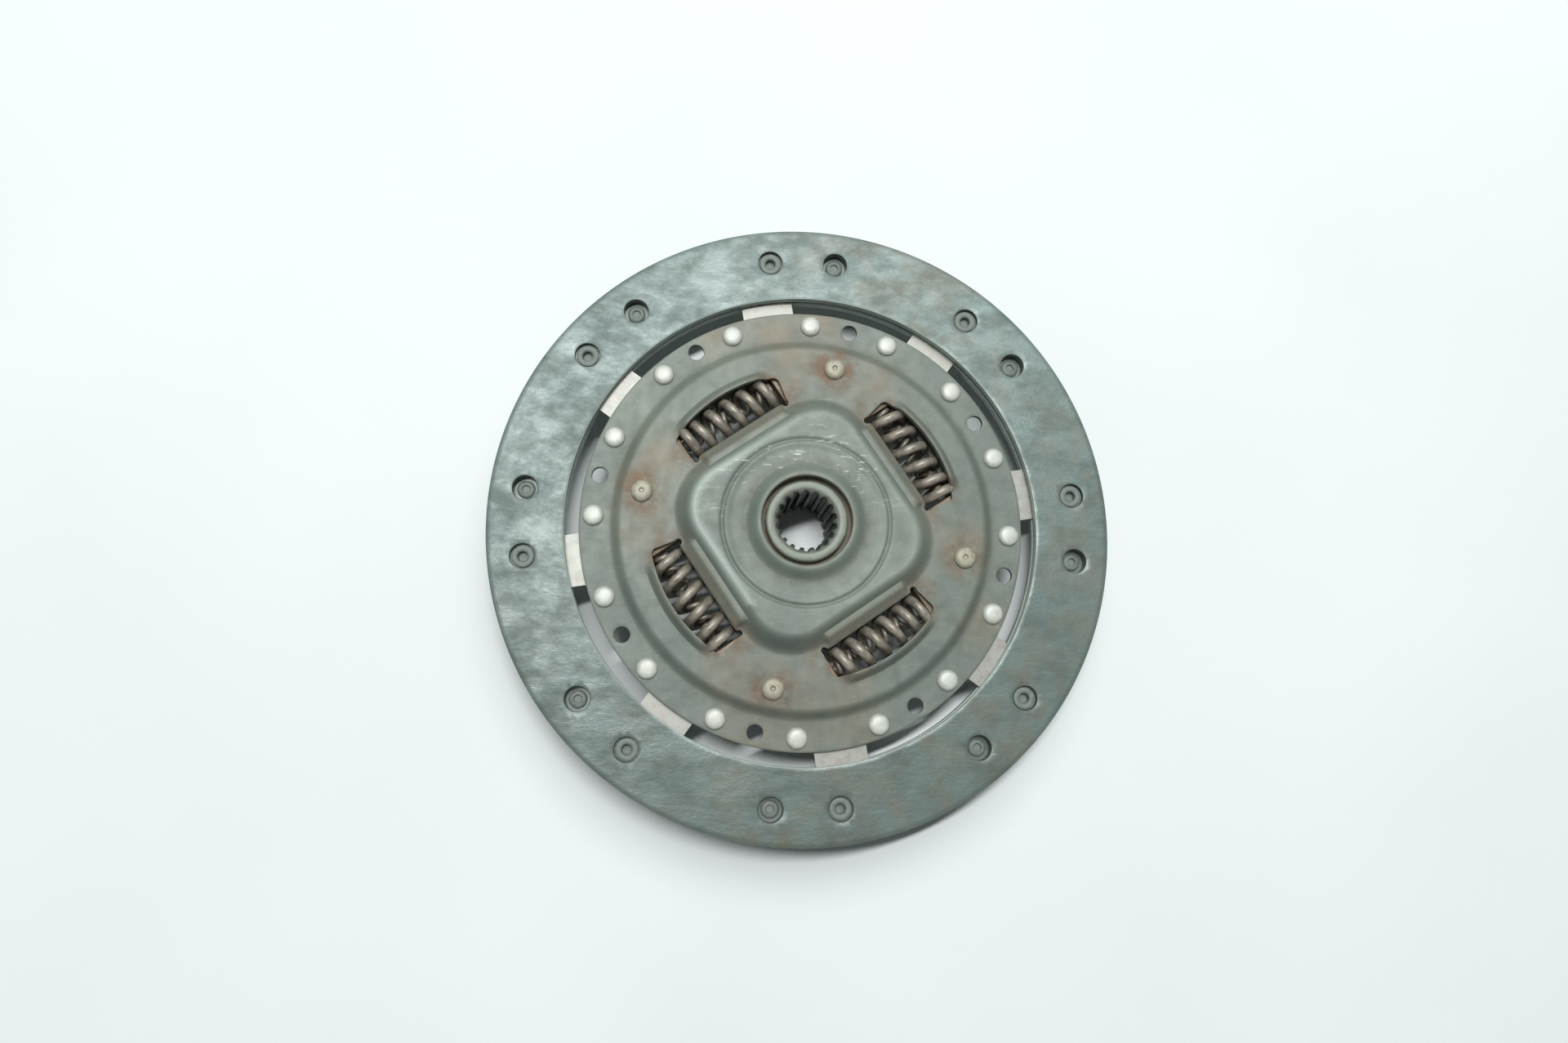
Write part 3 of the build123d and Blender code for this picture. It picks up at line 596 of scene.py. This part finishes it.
def build_facing(name, seats, clears, side):
    """Friction facing with stepped seats for its own rivets and open holes over the other's tails."""
    b = Builder()
    top, bottom = flat(FACING_FRONT), flat(FACING_BACK)
    stacks = [stack_for(circle(FACING_OUTER, 540), top, bottom, 0.45, True)]
    stacks.append(stack_for(circle(FACING_INNER, 420), top, bottom, 0.35, False))
    mouth = [(SEAT_RADIUS + 0.35, FACING_FRONT), (SEAT_RADIUS + 0.1, FACING_FRONT - 0.1),
             (SEAT_RADIUS, FACING_FRONT - 0.4)]
    stepped = mouth + [(SEAT_RADIUS, SEAT_LEDGE), (SHANK_HOLE, SEAT_LEDGE), (SHANK_HOLE, FACING_BACK)]
    straight = mouth + [(SEAT_RADIUS, FACING_BACK)]
    for angles, profile in ((seats, stepped), (clears, straight)):
        for centre in spots(FACING_RIVET_RADIUS, angles):
            stacks.append([level(circle(r, 40, centre), z) for r, z in profile])
    grid = rings_grid(np.arange(88.0, 113.5, 2.0), 2.2)
    b.sheet(stacks, top, bottom, grid, grid)
    b.points = [(x, y, side * z) for x, y, z in b.points]
    return b.mesh(name)


# Turned profiles from the front to the back, as (radius, height)
SEGMENT_RIVET = [
    (0, 4.4), (1.4, 4.37), (2.4, 4.26), (2.95, 4.08), (3.4, 3.75), (3.7, 3.3), (3.86, 2.8), (3.9, 2.4),
    (2.1, 2.4), (2.1, -0.4), (3.5, -0.4), (3.45, -0.9), (3.2, -1.5), (2.6, -1.9), (1.6, -2.0), (0, -2.0),
]
FACING_RIVET = [
    (0, 0.7), (1.5, 0.7), (1.75, 0.95), (1.8, 2.7), (2.1, 3.05), (2.5, 3.2), (3.5, 3.2), (3.9, 3.05),
    (4.0, 2.8), (4.0, 2.3), (2.1, 2.3), (2.1, 0.0), (3.2, 0.0), (3.3, -0.35), (3.0, -0.8),
    (2.4, -1.05), (1.7, -1.1), (1.4, -0.9), (1.3, -0.3), (0, -0.3),
]
STOP_PIN = [
    (0, 6.3), (0.5, 6.32), (0.85, 6.6), (1.05, 6.88), (1.4, 6.9), (2.6, 6.82), (3.3, 6.6), (3.85, 6.1),
    (4.1, 5.5), (4.1, 5.2), (2.6, 5.2), (2.6, 3.2), (4.0, 3.2), (4.0, -2.6), (2.6, -2.6), (2.6, -4.6),
    (4.1, -4.6), (4.1, -4.9), (3.85, -5.5), (3.3, -6.0), (2.0, -6.25), (0, -6.3),
]


def build_rivets(name, profile, radius, angles, side=1):
    b = Builder()
    for centre in spots(radius, angles):
        b.lathe([(r, side * z) for r, z in profile], 28, centre)
    return b.mesh(name, 34)


def coil_path(outer, wire, turns, hand):
    """Centre line of a spring along +X with a closed coil at each end."""
    steps, closed_turns, closed_pitch = 30, 0.75, 1.05
    mean = (outer - wire) / 2
    length = SPRING_LENGTH - wire
    closed = closed_turns * closed_pitch * wire
    at = np.linspace(0, turns, int(turns * steps) + 1)
    knots = [0, closed_turns, turns - closed_turns, turns]
    rise = np.interp(at, knots, [0, closed, length - closed, length])
    smooth = np.convolve(np.pad(rise, 5, mode="edge"), np.ones(11) / 11, mode="valid")
    rise = np.where((at < 0.4) | (at > turns - 0.4), rise, smooth)
    phase = 2 * pi * hand * at
    return np.column_stack([rise - length / 2, mean * np.cos(phase), mean * np.sin(phase)])


def build_spring(name, angle, outer, wire, turns, hand, sides):
    b = Builder()
    path = coil_path(outer, wire, turns, hand)
    path[:, 1] += SPRING_RADIUS
    path = turned(path, angle)
    path[:, 2] += FLANGE_MID
    b.tube(path, wire / 2, sides)
    return b.mesh(name, 60)


# ---------------------------------------------------------------- materials

def srgb(r, g, b):
    """Linear colour from values of 0 to 255 as seen on a screen."""
    def linear(c):
        c /= 255
        return c / 12.92 if c <= 0.04045 else ((c + 0.055) / 1.055) ** 2.4
    return (linear(r), linear(g), linear(b), 1.0)


class Finish:
    """Node material over the part's own coordinates."""

    def __init__(self, name, metallic, specular=0.5):
        self.material = bpy.data.materials.new(name)
        self.material.use_nodes = True
        self.tree = self.material.node_tree
        self.shader = self.tree.nodes["Principled BSDF"]
        self.shader.inputs["Metallic"].default_value = metallic
        self.shader.inputs["Specular IOR Level"].default_value = specular
        self.coordinates = self.new("ShaderNodeTexCoord").outputs["Object"]

    def new(self, kind, **settings):
        node = self.tree.nodes.new(kind)
        for name, value in settings.items():
            setattr(node, name, value)
        return node

    def feed(self, socket, value):
        """Links a node's output to a socket, or sets a plain value on it."""
        if isinstance(value, bpy.types.NodeSocket):
            self.tree.links.new(value, socket)
        else:
            socket.default_value = value

    def noise(self, size, detail=4.0, rough=0.55, stretch=(1, 1, 1), turn=0.0, shift=0.0):
        """Noise whose features are about size millimetres wide."""
        mapping = self.new("ShaderNodeMapping")
        self.feed(mapping.inputs["Vector"], self.coordinates)
        mapping.inputs["Rotation"].default_value = (0, 0, radians(turn))
        mapping.inputs["Location"].default_value = (shift, shift * 0.7, 0)
        mapping.inputs["Scale"].default_value = [1000 / size * s for s in stretch]
        node = self.new("ShaderNodeTexNoise")
        node.inputs["Scale"].default_value = 1.0
        node.inputs["Detail"].default_value = detail
        node.inputs["Roughness"].default_value = rough
        self.feed(node.inputs["Vector"], mapping.outputs[0])
        return node.outputs["Fac"]

    def between(self, value, low, high, start=0.0, end=1.0):
        """Maps the range from low to high onto the range from start to end."""
        node = self.new("ShaderNodeMapRange")
        self.feed(node.inputs["Value"], value)
        for name, number in (("From Min", low), ("From Max", high), ("To Min", start), ("To Max", end)):
            node.inputs[name].default_value = number
        return node.outputs["Result"]

    def combine(self, operation, a, b):
        node = self.new("ShaderNodeMath", operation=operation)
        self.feed(node.inputs[0], a)
        self.feed(node.inputs[1], b)
        return node.outputs[0]

    def times(self, a, b):
        return self.combine("MULTIPLY", a, b)

    def plus(self, a, b):
        return self.combine("ADD", a, b)

    def minus(self, a, b):
        return self.combine("SUBTRACT", a, b)

    def reach(self):
        """Distance from the disc's axis in millimetres."""
        parts = self.new("ShaderNodeSeparateXYZ")
        self.feed(parts.inputs[0], self.coordinates)
        squares = [self.times(parts.outputs[k], parts.outputs[k]) for k in range(2)]
        length = self.combine("SQRT", self.plus(*squares), 0.0)
        return self.times(length, 1000.0)

    def mask(self, name):
        """A mask painted on the mesh."""
        return self.new("ShaderNodeAttribute", attribute_name=name).outputs["Fac"]

    def mix(self, share, a, b):
        """Colour a, with the given share of colour b."""
        node = self.new("ShaderNodeMix", data_type="RGBA", blend_type="MIX")
        self.feed(node.inputs["Factor"], share)
        self.feed(node.inputs[6], a)
        self.feed(node.inputs[7], b)
        return node.outputs[2]

    def bump(self, height, distance):
        """Surface relief of a height from 0 to 1, with a depth in millimetres."""
        node = self.new("ShaderNodeBump")
        node.inputs["Strength"].default_value = 1.0
        node.inputs["Distance"].default_value = distance * MM
        self.feed(node.inputs["Height"], height)
        self.feed(self.shader.inputs["Normal"], node.outputs[0])

    def set(self, colour, roughness):
        self.feed(self.shader.inputs["Base Color"], colour)
        self.feed(self.shader.inputs["Roughness"], roughness)
        return self.material


def lining_finish():
    """Worn grey-green friction lining, mottled and glossy, with brown smudges, painted shade in the
    rivet holes and to the south, and inner walls painted pale as painted light.
    """
    f = Finish("friction_lining_worn", 0.0)
    f.shader.inputs["Specular Tint"].default_value = (0.9, 1.0, 0.98, 1)
    broad = f.noise(42, 4, 0.6)
    blotch = f.noise(11, 6, 0.68, (0.8, 1.25, 1), 30, 3)
    mottle = f.noise(4, 5, 0.68, (0.7, 1.3, 1), 20, 13)
    grain = f.noise(0.9, 3, 0.6)
    streak = f.noise(2.4, 5, 0.7, (0.32, 1.6, 1), 32)
    brown_patches = f.between(f.noise(12, 6, 0.68, shift=11), 0.42, 0.6)
    painted_south_shade_patches = f.between(f.noise(22, 5, 0.6, shift=27), 0.3, 0.6, 0.45, 1.0)
    brown = f.times(f.mask("smudge"), brown_patches)
    painted_south_shade = f.times(f.mask("painted_south_shade"), painted_south_shade_patches)
    wall = f.times(f.mask("wall"), f.between(streak, 0.3, 0.6, 0.95, 0.8))

    colour = f.mix(f.between(broad, 0.35, 0.65), srgb(68, 90, 86), srgb(84, 106, 102))
    colour = f.mix(f.between(blotch, 0.42, 0.62, 0, 0.6), colour, srgb(60, 74, 68))
    colour = f.mix(f.between(mottle, 0.5, 0.7, 0, 0.55), colour, srgb(102, 122, 117))
    colour = f.mix(f.between(streak, 0.56, 0.74, 0, 0.25), colour, srgb(124, 142, 138))
    colour = f.mix(f.times(brown, 0.55), colour, srgb(108, 98, 76))
    # Painted shade: the lining is darker, and below less glossy, towards the south.
    colour = f.mix(f.times(painted_south_shade, 0.6), colour, srgb(54, 64, 58))
    # Painted shade: the walls and floors of the rivet holes are darkened.
    colour = f.mix(f.times(f.mask("hole"), 0.8), colour, srgb(66, 72, 66))
    colour = f.mix(f.between(grain, 0.58, 0.8, 0, 0.4), colour, srgb(68, 78, 77))
    # Painted light: the inner walls by the plate are painted pale.
    colour = f.mix(wall, colour, srgb(190, 203, 195))

    gloss = f.minus(f.between(blotch, 0.4, 0.62, 1.0, 0.74), f.times(painted_south_shade, 0.16))
    f.feed(f.shader.inputs["Specular IOR Level"], f.minus(gloss, f.times(brown, 0.1)))
    rough = f.minus(f.between(blotch, 0.36, 0.64, 0.36, 0.52), f.between(mottle, 0.5, 0.75, 0, 0.08))
    height = f.plus(f.times(mottle, 0.7), f.times(streak, 0.35))
    f.bump(f.plus(height, f.times(grain, 0.2)), 0.16)
    return f.set(colour, rough)


def plate_finish():
    """Pressed steel plate: grey-green, tinted and rusted in patches, scuffed on the dome, with painted
    shade in its creases and to the south-east and a painted highlight on the dome's crown edge.
    """
    f = Finish("pressed_plate_worn", 0.06, 0.5)
    broad = f.noise(26, 4, 0.6)
    cloud = f.noise(6, 5, 0.6, shift=5)
    speck = f.noise(1.1, 4, 0.65)
    scratch = f.noise(1.6, 5, 0.7, (0.25, 1.7, 1), 64)
    tint_patches = f.between(f.noise(16, 6, 0.65, shift=31), 0.38, 0.6, 0.25, 1.0)
    rust_patches = f.between(f.noise(8, 6, 0.68, shift=9), 0.40, 0.58)
    dark_patches = f.between(f.noise(3.2, 6, 0.7, shift=21), 0.52, 0.68)
    strokes = f.between(f.noise(3.4, 6, 0.7, (0.5, 2.0, 1), 10, 15), 0.56, 0.64)
    stroke_patches = f.between(f.noise(11, 3, 0.5, shift=17), 0.42, 0.54)
    tint = f.times(f.mask("tint"), tint_patches)
    rust = f.times(f.mask("rust"), rust_patches)
    dark = f.times(f.mask("rust"), dark_patches)
    painted_crease_shade = f.times(f.mask("painted_crease_shade"), f.between(cloud, 0.3, 0.6, 0.5, 1.0))
    painted_south_shade = f.times(f.mask("painted_south_shade"), f.between(cloud, 0.3, 0.7, 0.2, 0.55))
    scuff = f.times(f.times(f.mask("scuff"), strokes), stroke_patches)

    colour = f.mix(f.between(broad, 0.35, 0.65), srgb(98, 109, 101), srgb(115, 124, 114))
    colour = f.mix(f.between(cloud, 0.5, 0.75, 0, 0.45), colour, srgb(92, 99, 90))
    colour = f.mix(f.times(tint, 0.7), colour, srgb(122, 111, 90))
    colour = f.mix(f.times(rust, 0.85), colour, srgb(126, 91, 66))
    colour = f.mix(f.times(dark, 0.7), colour, srgb(84, 62, 49))
    # Painted shade: darker bands at the feet of the collar, rim step and dome slopes.
    colour = f.mix(f.times(painted_crease_shade, 0.6), colour, srgb(80, 80, 68))
    # Painted highlight: a pale band along the dome's crown edge, strongest on the west side.
    colour = f.mix(f.times(f.mask("edge"), 0.7), colour, srgb(168, 181, 172))
    # Painted shade: the plate is darker towards the south-east.
    colour = f.mix(painted_south_shade, colour, srgb(72, 84, 78))
    colour = f.mix(f.times(scuff, 0.8), colour, srgb(200, 212, 202))
    colour = f.mix(f.between(scratch, 0.6, 0.75, 0, 0.3), colour, srgb(166, 176, 165))
    colour = f.mix(f.between(speck, 0.62, 0.8, 0, 0.4), colour, srgb(82, 84, 74))

    rough = f.plus(f.between(cloud, 0.3, 0.7, 0.48, 0.6), f.times(rust, 0.25))
    height = f.plus(f.times(cloud, 0.5), f.times(speck, 0.3))
    f.bump(f.plus(height, f.times(rust, 0.5)), 0.12)
    return f.set(colour, rough)


def metal_finish(name, light, dark, stain, metallic, rough, size, cover, painted_hollow_shade=None, hidden=None):
    """Metal with clouded colour, small stains and fine relief.

    Clouds are about size millimetres wide, and cover is the strength of the stains. The hollow
    colour is painted shade where the mask "hole" is painted, and hidden gives two radii and the
    colour beyond them.
    """
    f = Finish(name, metallic)
    cloud = f.noise(size, 5, 0.6)
    spots_noise = f.noise(size * 0.6, 6, 0.7, shift=8)
    fine = f.noise(0.5, 3, 0.6)
    colour = f.mix(f.between(cloud, 0.35, 0.65), srgb(*dark), srgb(*light))
    colour = f.mix(f.between(spots_noise, 0.52, 0.68, 0, cover), colour, srgb(*stain))
    if painted_hollow_shade:
        # Painted shade where the mask "hole" is painted.
        colour = f.mix(f.times(f.mask("hole"), 0.95), colour, srgb(*painted_hollow_shade))
    if hidden:
        near, far, tone = hidden
        colour = f.mix(f.between(f.reach(), near, far), colour, srgb(*tone))
    f.bump(f.plus(f.times(cloud, 0.6), f.times(fine, 0.3)), 0.05)
    return f.set(colour, f.between(cloud, 0.3, 0.7, rough, rough + 0.16))


lining = lining_finish()
plate_steel = plate_finish()
segment_steel = metal_finish(
    "cushion_steel", light=(143, 145, 139), dark=(122, 123, 117), stain=(146, 116, 103),
    metallic=0.45, rough=0.36, size=4.0, cover=0.5, hidden=(86.8, 88.2, (92, 100, 95)))
rivet_white = metal_finish(
    "rivet_steel_bright", light=(192, 196, 188), dark=(176, 180, 172), stain=(140, 134, 118),
    metallic=0.15, rough=0.38, size=2.0, cover=0.3)
rivet_dull = metal_finish(
    "rivet_brass_dull", light=(116, 126, 120), dark=(98, 108, 102), stain=(80, 78, 66),
    metallic=0.1, rough=0.5, size=2.0, cover=0.5)
pin_steel = metal_finish(
    "pin_steel_worn", light=(160, 158, 140), dark=(136, 134, 118), stain=(112, 84, 62),
    metallic=0.15, rough=0.42, size=2.0, cover=0.5)
spring_steel = metal_finish(
    "spring_steel_dark", light=(150, 145, 133), dark=(104, 98, 88), stain=(92, 72, 57),
    metallic=0.3, rough=0.32, size=4.0, cover=0.4)
# The inside of the bore is painted near black as painted shade.
hub_steel = metal_finish(
    "hub_steel_painted_bore_shade", light=(122, 130, 120), dark=(100, 106, 97), stain=(96, 80, 62),
    metallic=0.15, rough=0.4, size=4.0, cover=0.35, painted_hollow_shade=(20, 27, 26), hidden=(16, 18, (112, 99, 80)))
washer = metal_finish(
    "friction_washer_brown", light=(110, 102, 86), dark=(88, 82, 70), stain=(70, 60, 48),
    metallic=0.05, rough=0.6, size=3.0, cover=0.4)


# ---------------------------------------------------------------- masks

PIN_PLACES = spots(PIN_RADIUS, PIN_ANGLES)


def paint_drive_plate(piece):
    p, _ = plan(piece)
    r, turn, inset = reach_of(p), angle_of(p), dome_inset(p)
    gap, ends = window_distance(p)

    rust = np.exp(-gap / 2.2) * (0.35 + 0.65 * ends)
    rust = np.maximum(rust, 0.8 * near_places(p, PIN_PLACES, 4.0, 12.0) * (inset < 0))
    rust = np.maximum(rust, 0.4 * (1 - ease(r, 16.4, 17.4)))
    window_ends = spots(49, [a + s * 27 for a in SPRING_ANGLES for s in (-1, 1)])
    rust = np.maximum(rust, 0.45 * near_places(p, window_ends, 2, 10) * (gap > 0))
    paint(piece, "rust", rust)

    stained = spots(60, (-4, 10, 24, 98, 168, 182, 194, 208, 272, 283, 294))
    stained += spots(77, (-22, -8, 6, 166, 182, 196, 120))
    ledge = window_forms(p)[1] * (inset < 2)
    paint(piece, "tint", np.maximum(near_places(p, stained, 3, 17) * (inset < 1), 0.6 * ledge))

    # Painted shade on the outer zone, strongest to the south-east.
    paint(piece, "painted_south_shade", (0.5 + 0.5 * np.cos(np.radians(turn - 150))) * ease(r, 40, 60))

    scuff = (1 - ease(np.abs(turn + 5), 50, 100)) * ease(inset, 4.5, 6.5)
    scuff = scuff * ease(r, 19.5, 22) * (1 - 0.6 * ease(r, 32, 36))
    paint(piece, "scuff", scuff)

    # Painted highlight along the dome's crown edge, strongest on the west side.
    west = np.clip(-p[:, 0] / 30, 0, 1)
    paint(piece, "edge", bell(inset, 6.2, 1.7) * (0.25 + 0.75 * west) * (p[:, 1] > -30))

    # Painted shade at the feet of the collar, the rim step and the dome's wall.
    painted_crease_shade = bell(r, 22.4, 1.3) + bell(r, 70.9, 1.0) * 0.6
    painted_crease_shade += bell(inset, 0, 1.2) * 0.6
    paint(piece, "painted_crease_shade", painted_crease_shade)


def paint_retainer(piece):
    p, _ = plan(piece)
    r = reach_of(p)
    gap, ends = window_distance(p)
    rust = np.exp(-gap / 1.6) * (0.3 + 0.7 * ends)
    paint(piece, "rust", np.maximum(rust, 0.7 * near_places(p, PIN_PLACES, 4.5, 12.0)))
    paint(piece, "scuff", 0.4 * ease(r, 24, 40))
    stained = spots(56, (0, 20, 100, 185, 200, 275, 290))
    paint(piece, "tint", 0.8 * near_places(p, stained, 3, 20))
    # Painted shade at the foot of the retainer's dish slope.
    paint(piece, "painted_crease_shade", 0.3 * bell(r, 37, 2.0))


def paint_facing(piece):
    p, z = plan(piece)
    turn = angle_of(p)
    paint(piece, "smudge", 0.5 + 0.5 * np.cos(np.radians(turn - 160)) + 0.8 * bell(turn, 15, 30))
    # Painted shade on the lining, strongest towards the south.
    paint(piece, "painted_south_shade", 0.6 + 0.6 * np.cos(np.radians(turn - 196)))
    holes = spots(FACING_RIVET_RADIUS, FRONT_RIVET_ANGLES + REAR_RIVET_ANGLES)
    below_face = np.abs(z) < FACING_FRONT - 0.05
    # Painted shade in the rivet holes, below the front face.
    paint(piece, "hole", below_face * near_places(p, holes, 4.6, 4.9))
    # Painted light on the facing's inner wall.
    paint(piece, "wall", below_face * (reach_of(p) < FACING_INNER + 0.5))


def paint_hub(piece):
    p, z = plan(piece)
    bore = reach_of(p) < 11.2
    # Painted shade inside the bore, away from its two ends.
    paint(piece, "hole", bore * ease(HUB_FRONT - z, 0.4, 1.6) * ease(z - HUB_REAR, 0.4, 1.6))


# ---------------------------------------------------------------- pieces

drive = build_drive_plate()
place(drive, "disc", plate_steel, "plate_steel", "drive_plate")
paint_drive_plate(drive)

retainer = build_retainer()
place(retainer, "disc", plate_steel, "plate_steel", "retainer_plate")
paint_retainer(retainer)

for name, seats, clears, side, node in (
    ("facing_front_lining", FRONT_RIVET_ANGLES, REAR_RIVET_ANGLES, 1, "facing_front"),
    ("facing_rear_lining", REAR_RIVET_ANGLES, FRONT_RIVET_ANGLES, -1, "facing_rear"),
):
    facing = build_facing(name, seats, clears, side)
    place(facing, "disc", lining, "friction_lining", node)
    paint_facing(facing)

segment_rivets = build_rivets("segment_rivet_heads", SEGMENT_RIVET, SEGMENT_RIVET_RADIUS,
                              SEGMENT_RIVET_ANGLES)
place(segment_rivets, "disc", rivet_white, "rivet_steel", "segment_rivets")

for name, angles, side, node in (
    ("facing_rivet_heads_front", FRONT_RIVET_ANGLES, 1, "facing_rivets_front"),
    ("facing_rivet_heads_rear", REAR_RIVET_ANGLES, -1, "facing_rivets_rear"),
):
    facing_rivets = build_rivets(name, FACING_RIVET, FACING_RIVET_RADIUS, angles, side)
    place(facing_rivets, "disc", rivet_dull, "rivet_brass", node)

stop_pins = build_rivets("stop_pin_heads", STOP_PIN, PIN_RADIUS, PIN_ANGLES)
place(stop_pins, "disc", pin_steel, "pin_steel", "stop_pins")

hub = build_hub()
place(hub, "hub", hub_steel, "hub_steel", "hub")
paint_hub(hub)

for number, (angle, hand) in enumerate(zip(SPRING_ANGLES, SPRING_HANDS), 1):
    for kind, outer, wire, turns, way, sides in (
        ("damper_spring", 14.9, 3.6, 6.0, hand, 16),
        ("inner_spring", 6.6, 1.9, 8.4, -hand, 10),
    ):
        spring = build_spring(f"{kind}_wire_{number}", angle, outer, wire, turns, way, sides)
        place(spring, "springs", spring_steel, "spring_steel", f"{kind}_{number}")
        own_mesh(spring)

# Nodes that show as they come from the frame
for node, material in (
    *((f"cushion_segment_{k}", segment_steel) for k in range(1, 9)),
    ("friction_ring", washer),
    ("diaphragm_spring", spring_steel),
    ("guide_bush", washer),
    ("rear_friction_bush", washer),
):
    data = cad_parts[node].data
    data.materials.clear()
    data.materials.append(material)


# ---------------------------------------------------------------- floor, light and camera

def build_floor():
    """Pale floor under the rear end of the hub."""
    b = Builder()
    half = 2500
    corners = [(-half, -half), (half, -half), (half, half), (-half, half)]
    b.faces.append(tuple(b.add([(x, y, HUB_REAR) for x, y in corners])))
    floor = b.mesh("floor")
    f = Finish("floor_pale", 0.0, 0.2)
    cloud = f.between(f.noise(160, 3, 0.5), 0.3, 0.7)
    floor.data.materials.append(f.set(f.mix(cloud, srgb(230, 236, 236), srgb(235, 241, 241)), 0.8))


def build_world():
    """White behind the object and in its reflections, with a weak ambient light on it."""
    world = bpy.data.worlds.new("studio")
    bpy.context.scene.world = world
    world.use_nodes = True
    tree = world.node_tree
    tree.nodes.clear()

    def background(colour, strength):
        node = tree.nodes.new("ShaderNodeBackground")
        node.inputs["Color"].default_value = colour
        node.inputs["Strength"].default_value = strength
        return node.outputs[0]

    output = tree.nodes.new("ShaderNodeOutputWorld")
    white = background((1, 1, 1, 1), 1.0)
    ambient = background((0.93, 1.0, 1.0, 1), 0.12)
    rays = tree.nodes.new("ShaderNodeLightPath")
    seen = rays.outputs["Is Camera Ray"]
    for kind in ("Is Glossy Ray", "Is Transmission Ray"):
        either = tree.nodes.new("ShaderNodeMath")
        either.operation = "MAXIMUM"
        tree.links.new(seen, either.inputs[0])
        tree.links.new(rays.outputs[kind], either.inputs[1])
        seen = either.outputs[0]
    chosen = tree.nodes.new("ShaderNodeMixShader")
    tree.links.new(seen, chosen.inputs[0])
    tree.links.new(ambient, chosen.inputs[1])
    tree.links.new(white, chosen.inputs[2])
    tree.links.new(chosen.outputs[0], output.inputs["Surface"])


def lamp(name, location, size, power, colour=(1, 1, 1)):
    """Soft oval lamp aimed at the disc. Its place and size are in metres."""
    data = bpy.data.lights.new(name, "AREA")
    data.shape = "ELLIPSE"
    data.size, data.size_y = size
    data.energy = power
    data.color = colour
    item = bpy.data.objects.new(name, data)
    item.location = location
    item.rotation_mode = "QUATERNION"
    item.rotation_quaternion = (-Vector(location)).to_track_quat("-Z", "Y")
    bpy.context.scene.collection.objects.link(item)


def build_camera():
    """Camera at the photograph's angle. Its place is in metres."""
    data = bpy.data.cameras.new("camera")
    data.sensor_width = 23.5
    data.lens = 16.01
    data.clip_start = 0.01
    camera = bpy.data.objects.new("camera", data)
    location = (-0.0417, -0.0641, 0.3866)
    right = (0.99612, -0.01483, 0.08677)
    up = (0.0, 0.98570, 0.16849)
    back = (-0.08803, -0.16784, 0.98188)
    turn = Matrix((right, up, back)).transposed().to_4x4()
    camera.matrix_world = Matrix.Translation(location) @ turn
    bpy.context.scene.collection.objects.link(camera)
    bpy.context.scene.camera = camera


build_floor()
build_world()
lamp("overhead", (-0.18, 0.46, 2.2), (1.3, 0.14), 37)
lamp("north panel", (0.1, 0.78, 1.25), (1.3, 0.8), 9, (0.98, 1.0, 1.0))
build_camera()
bpy.context.scene.view_settings.view_transform = "Standard"
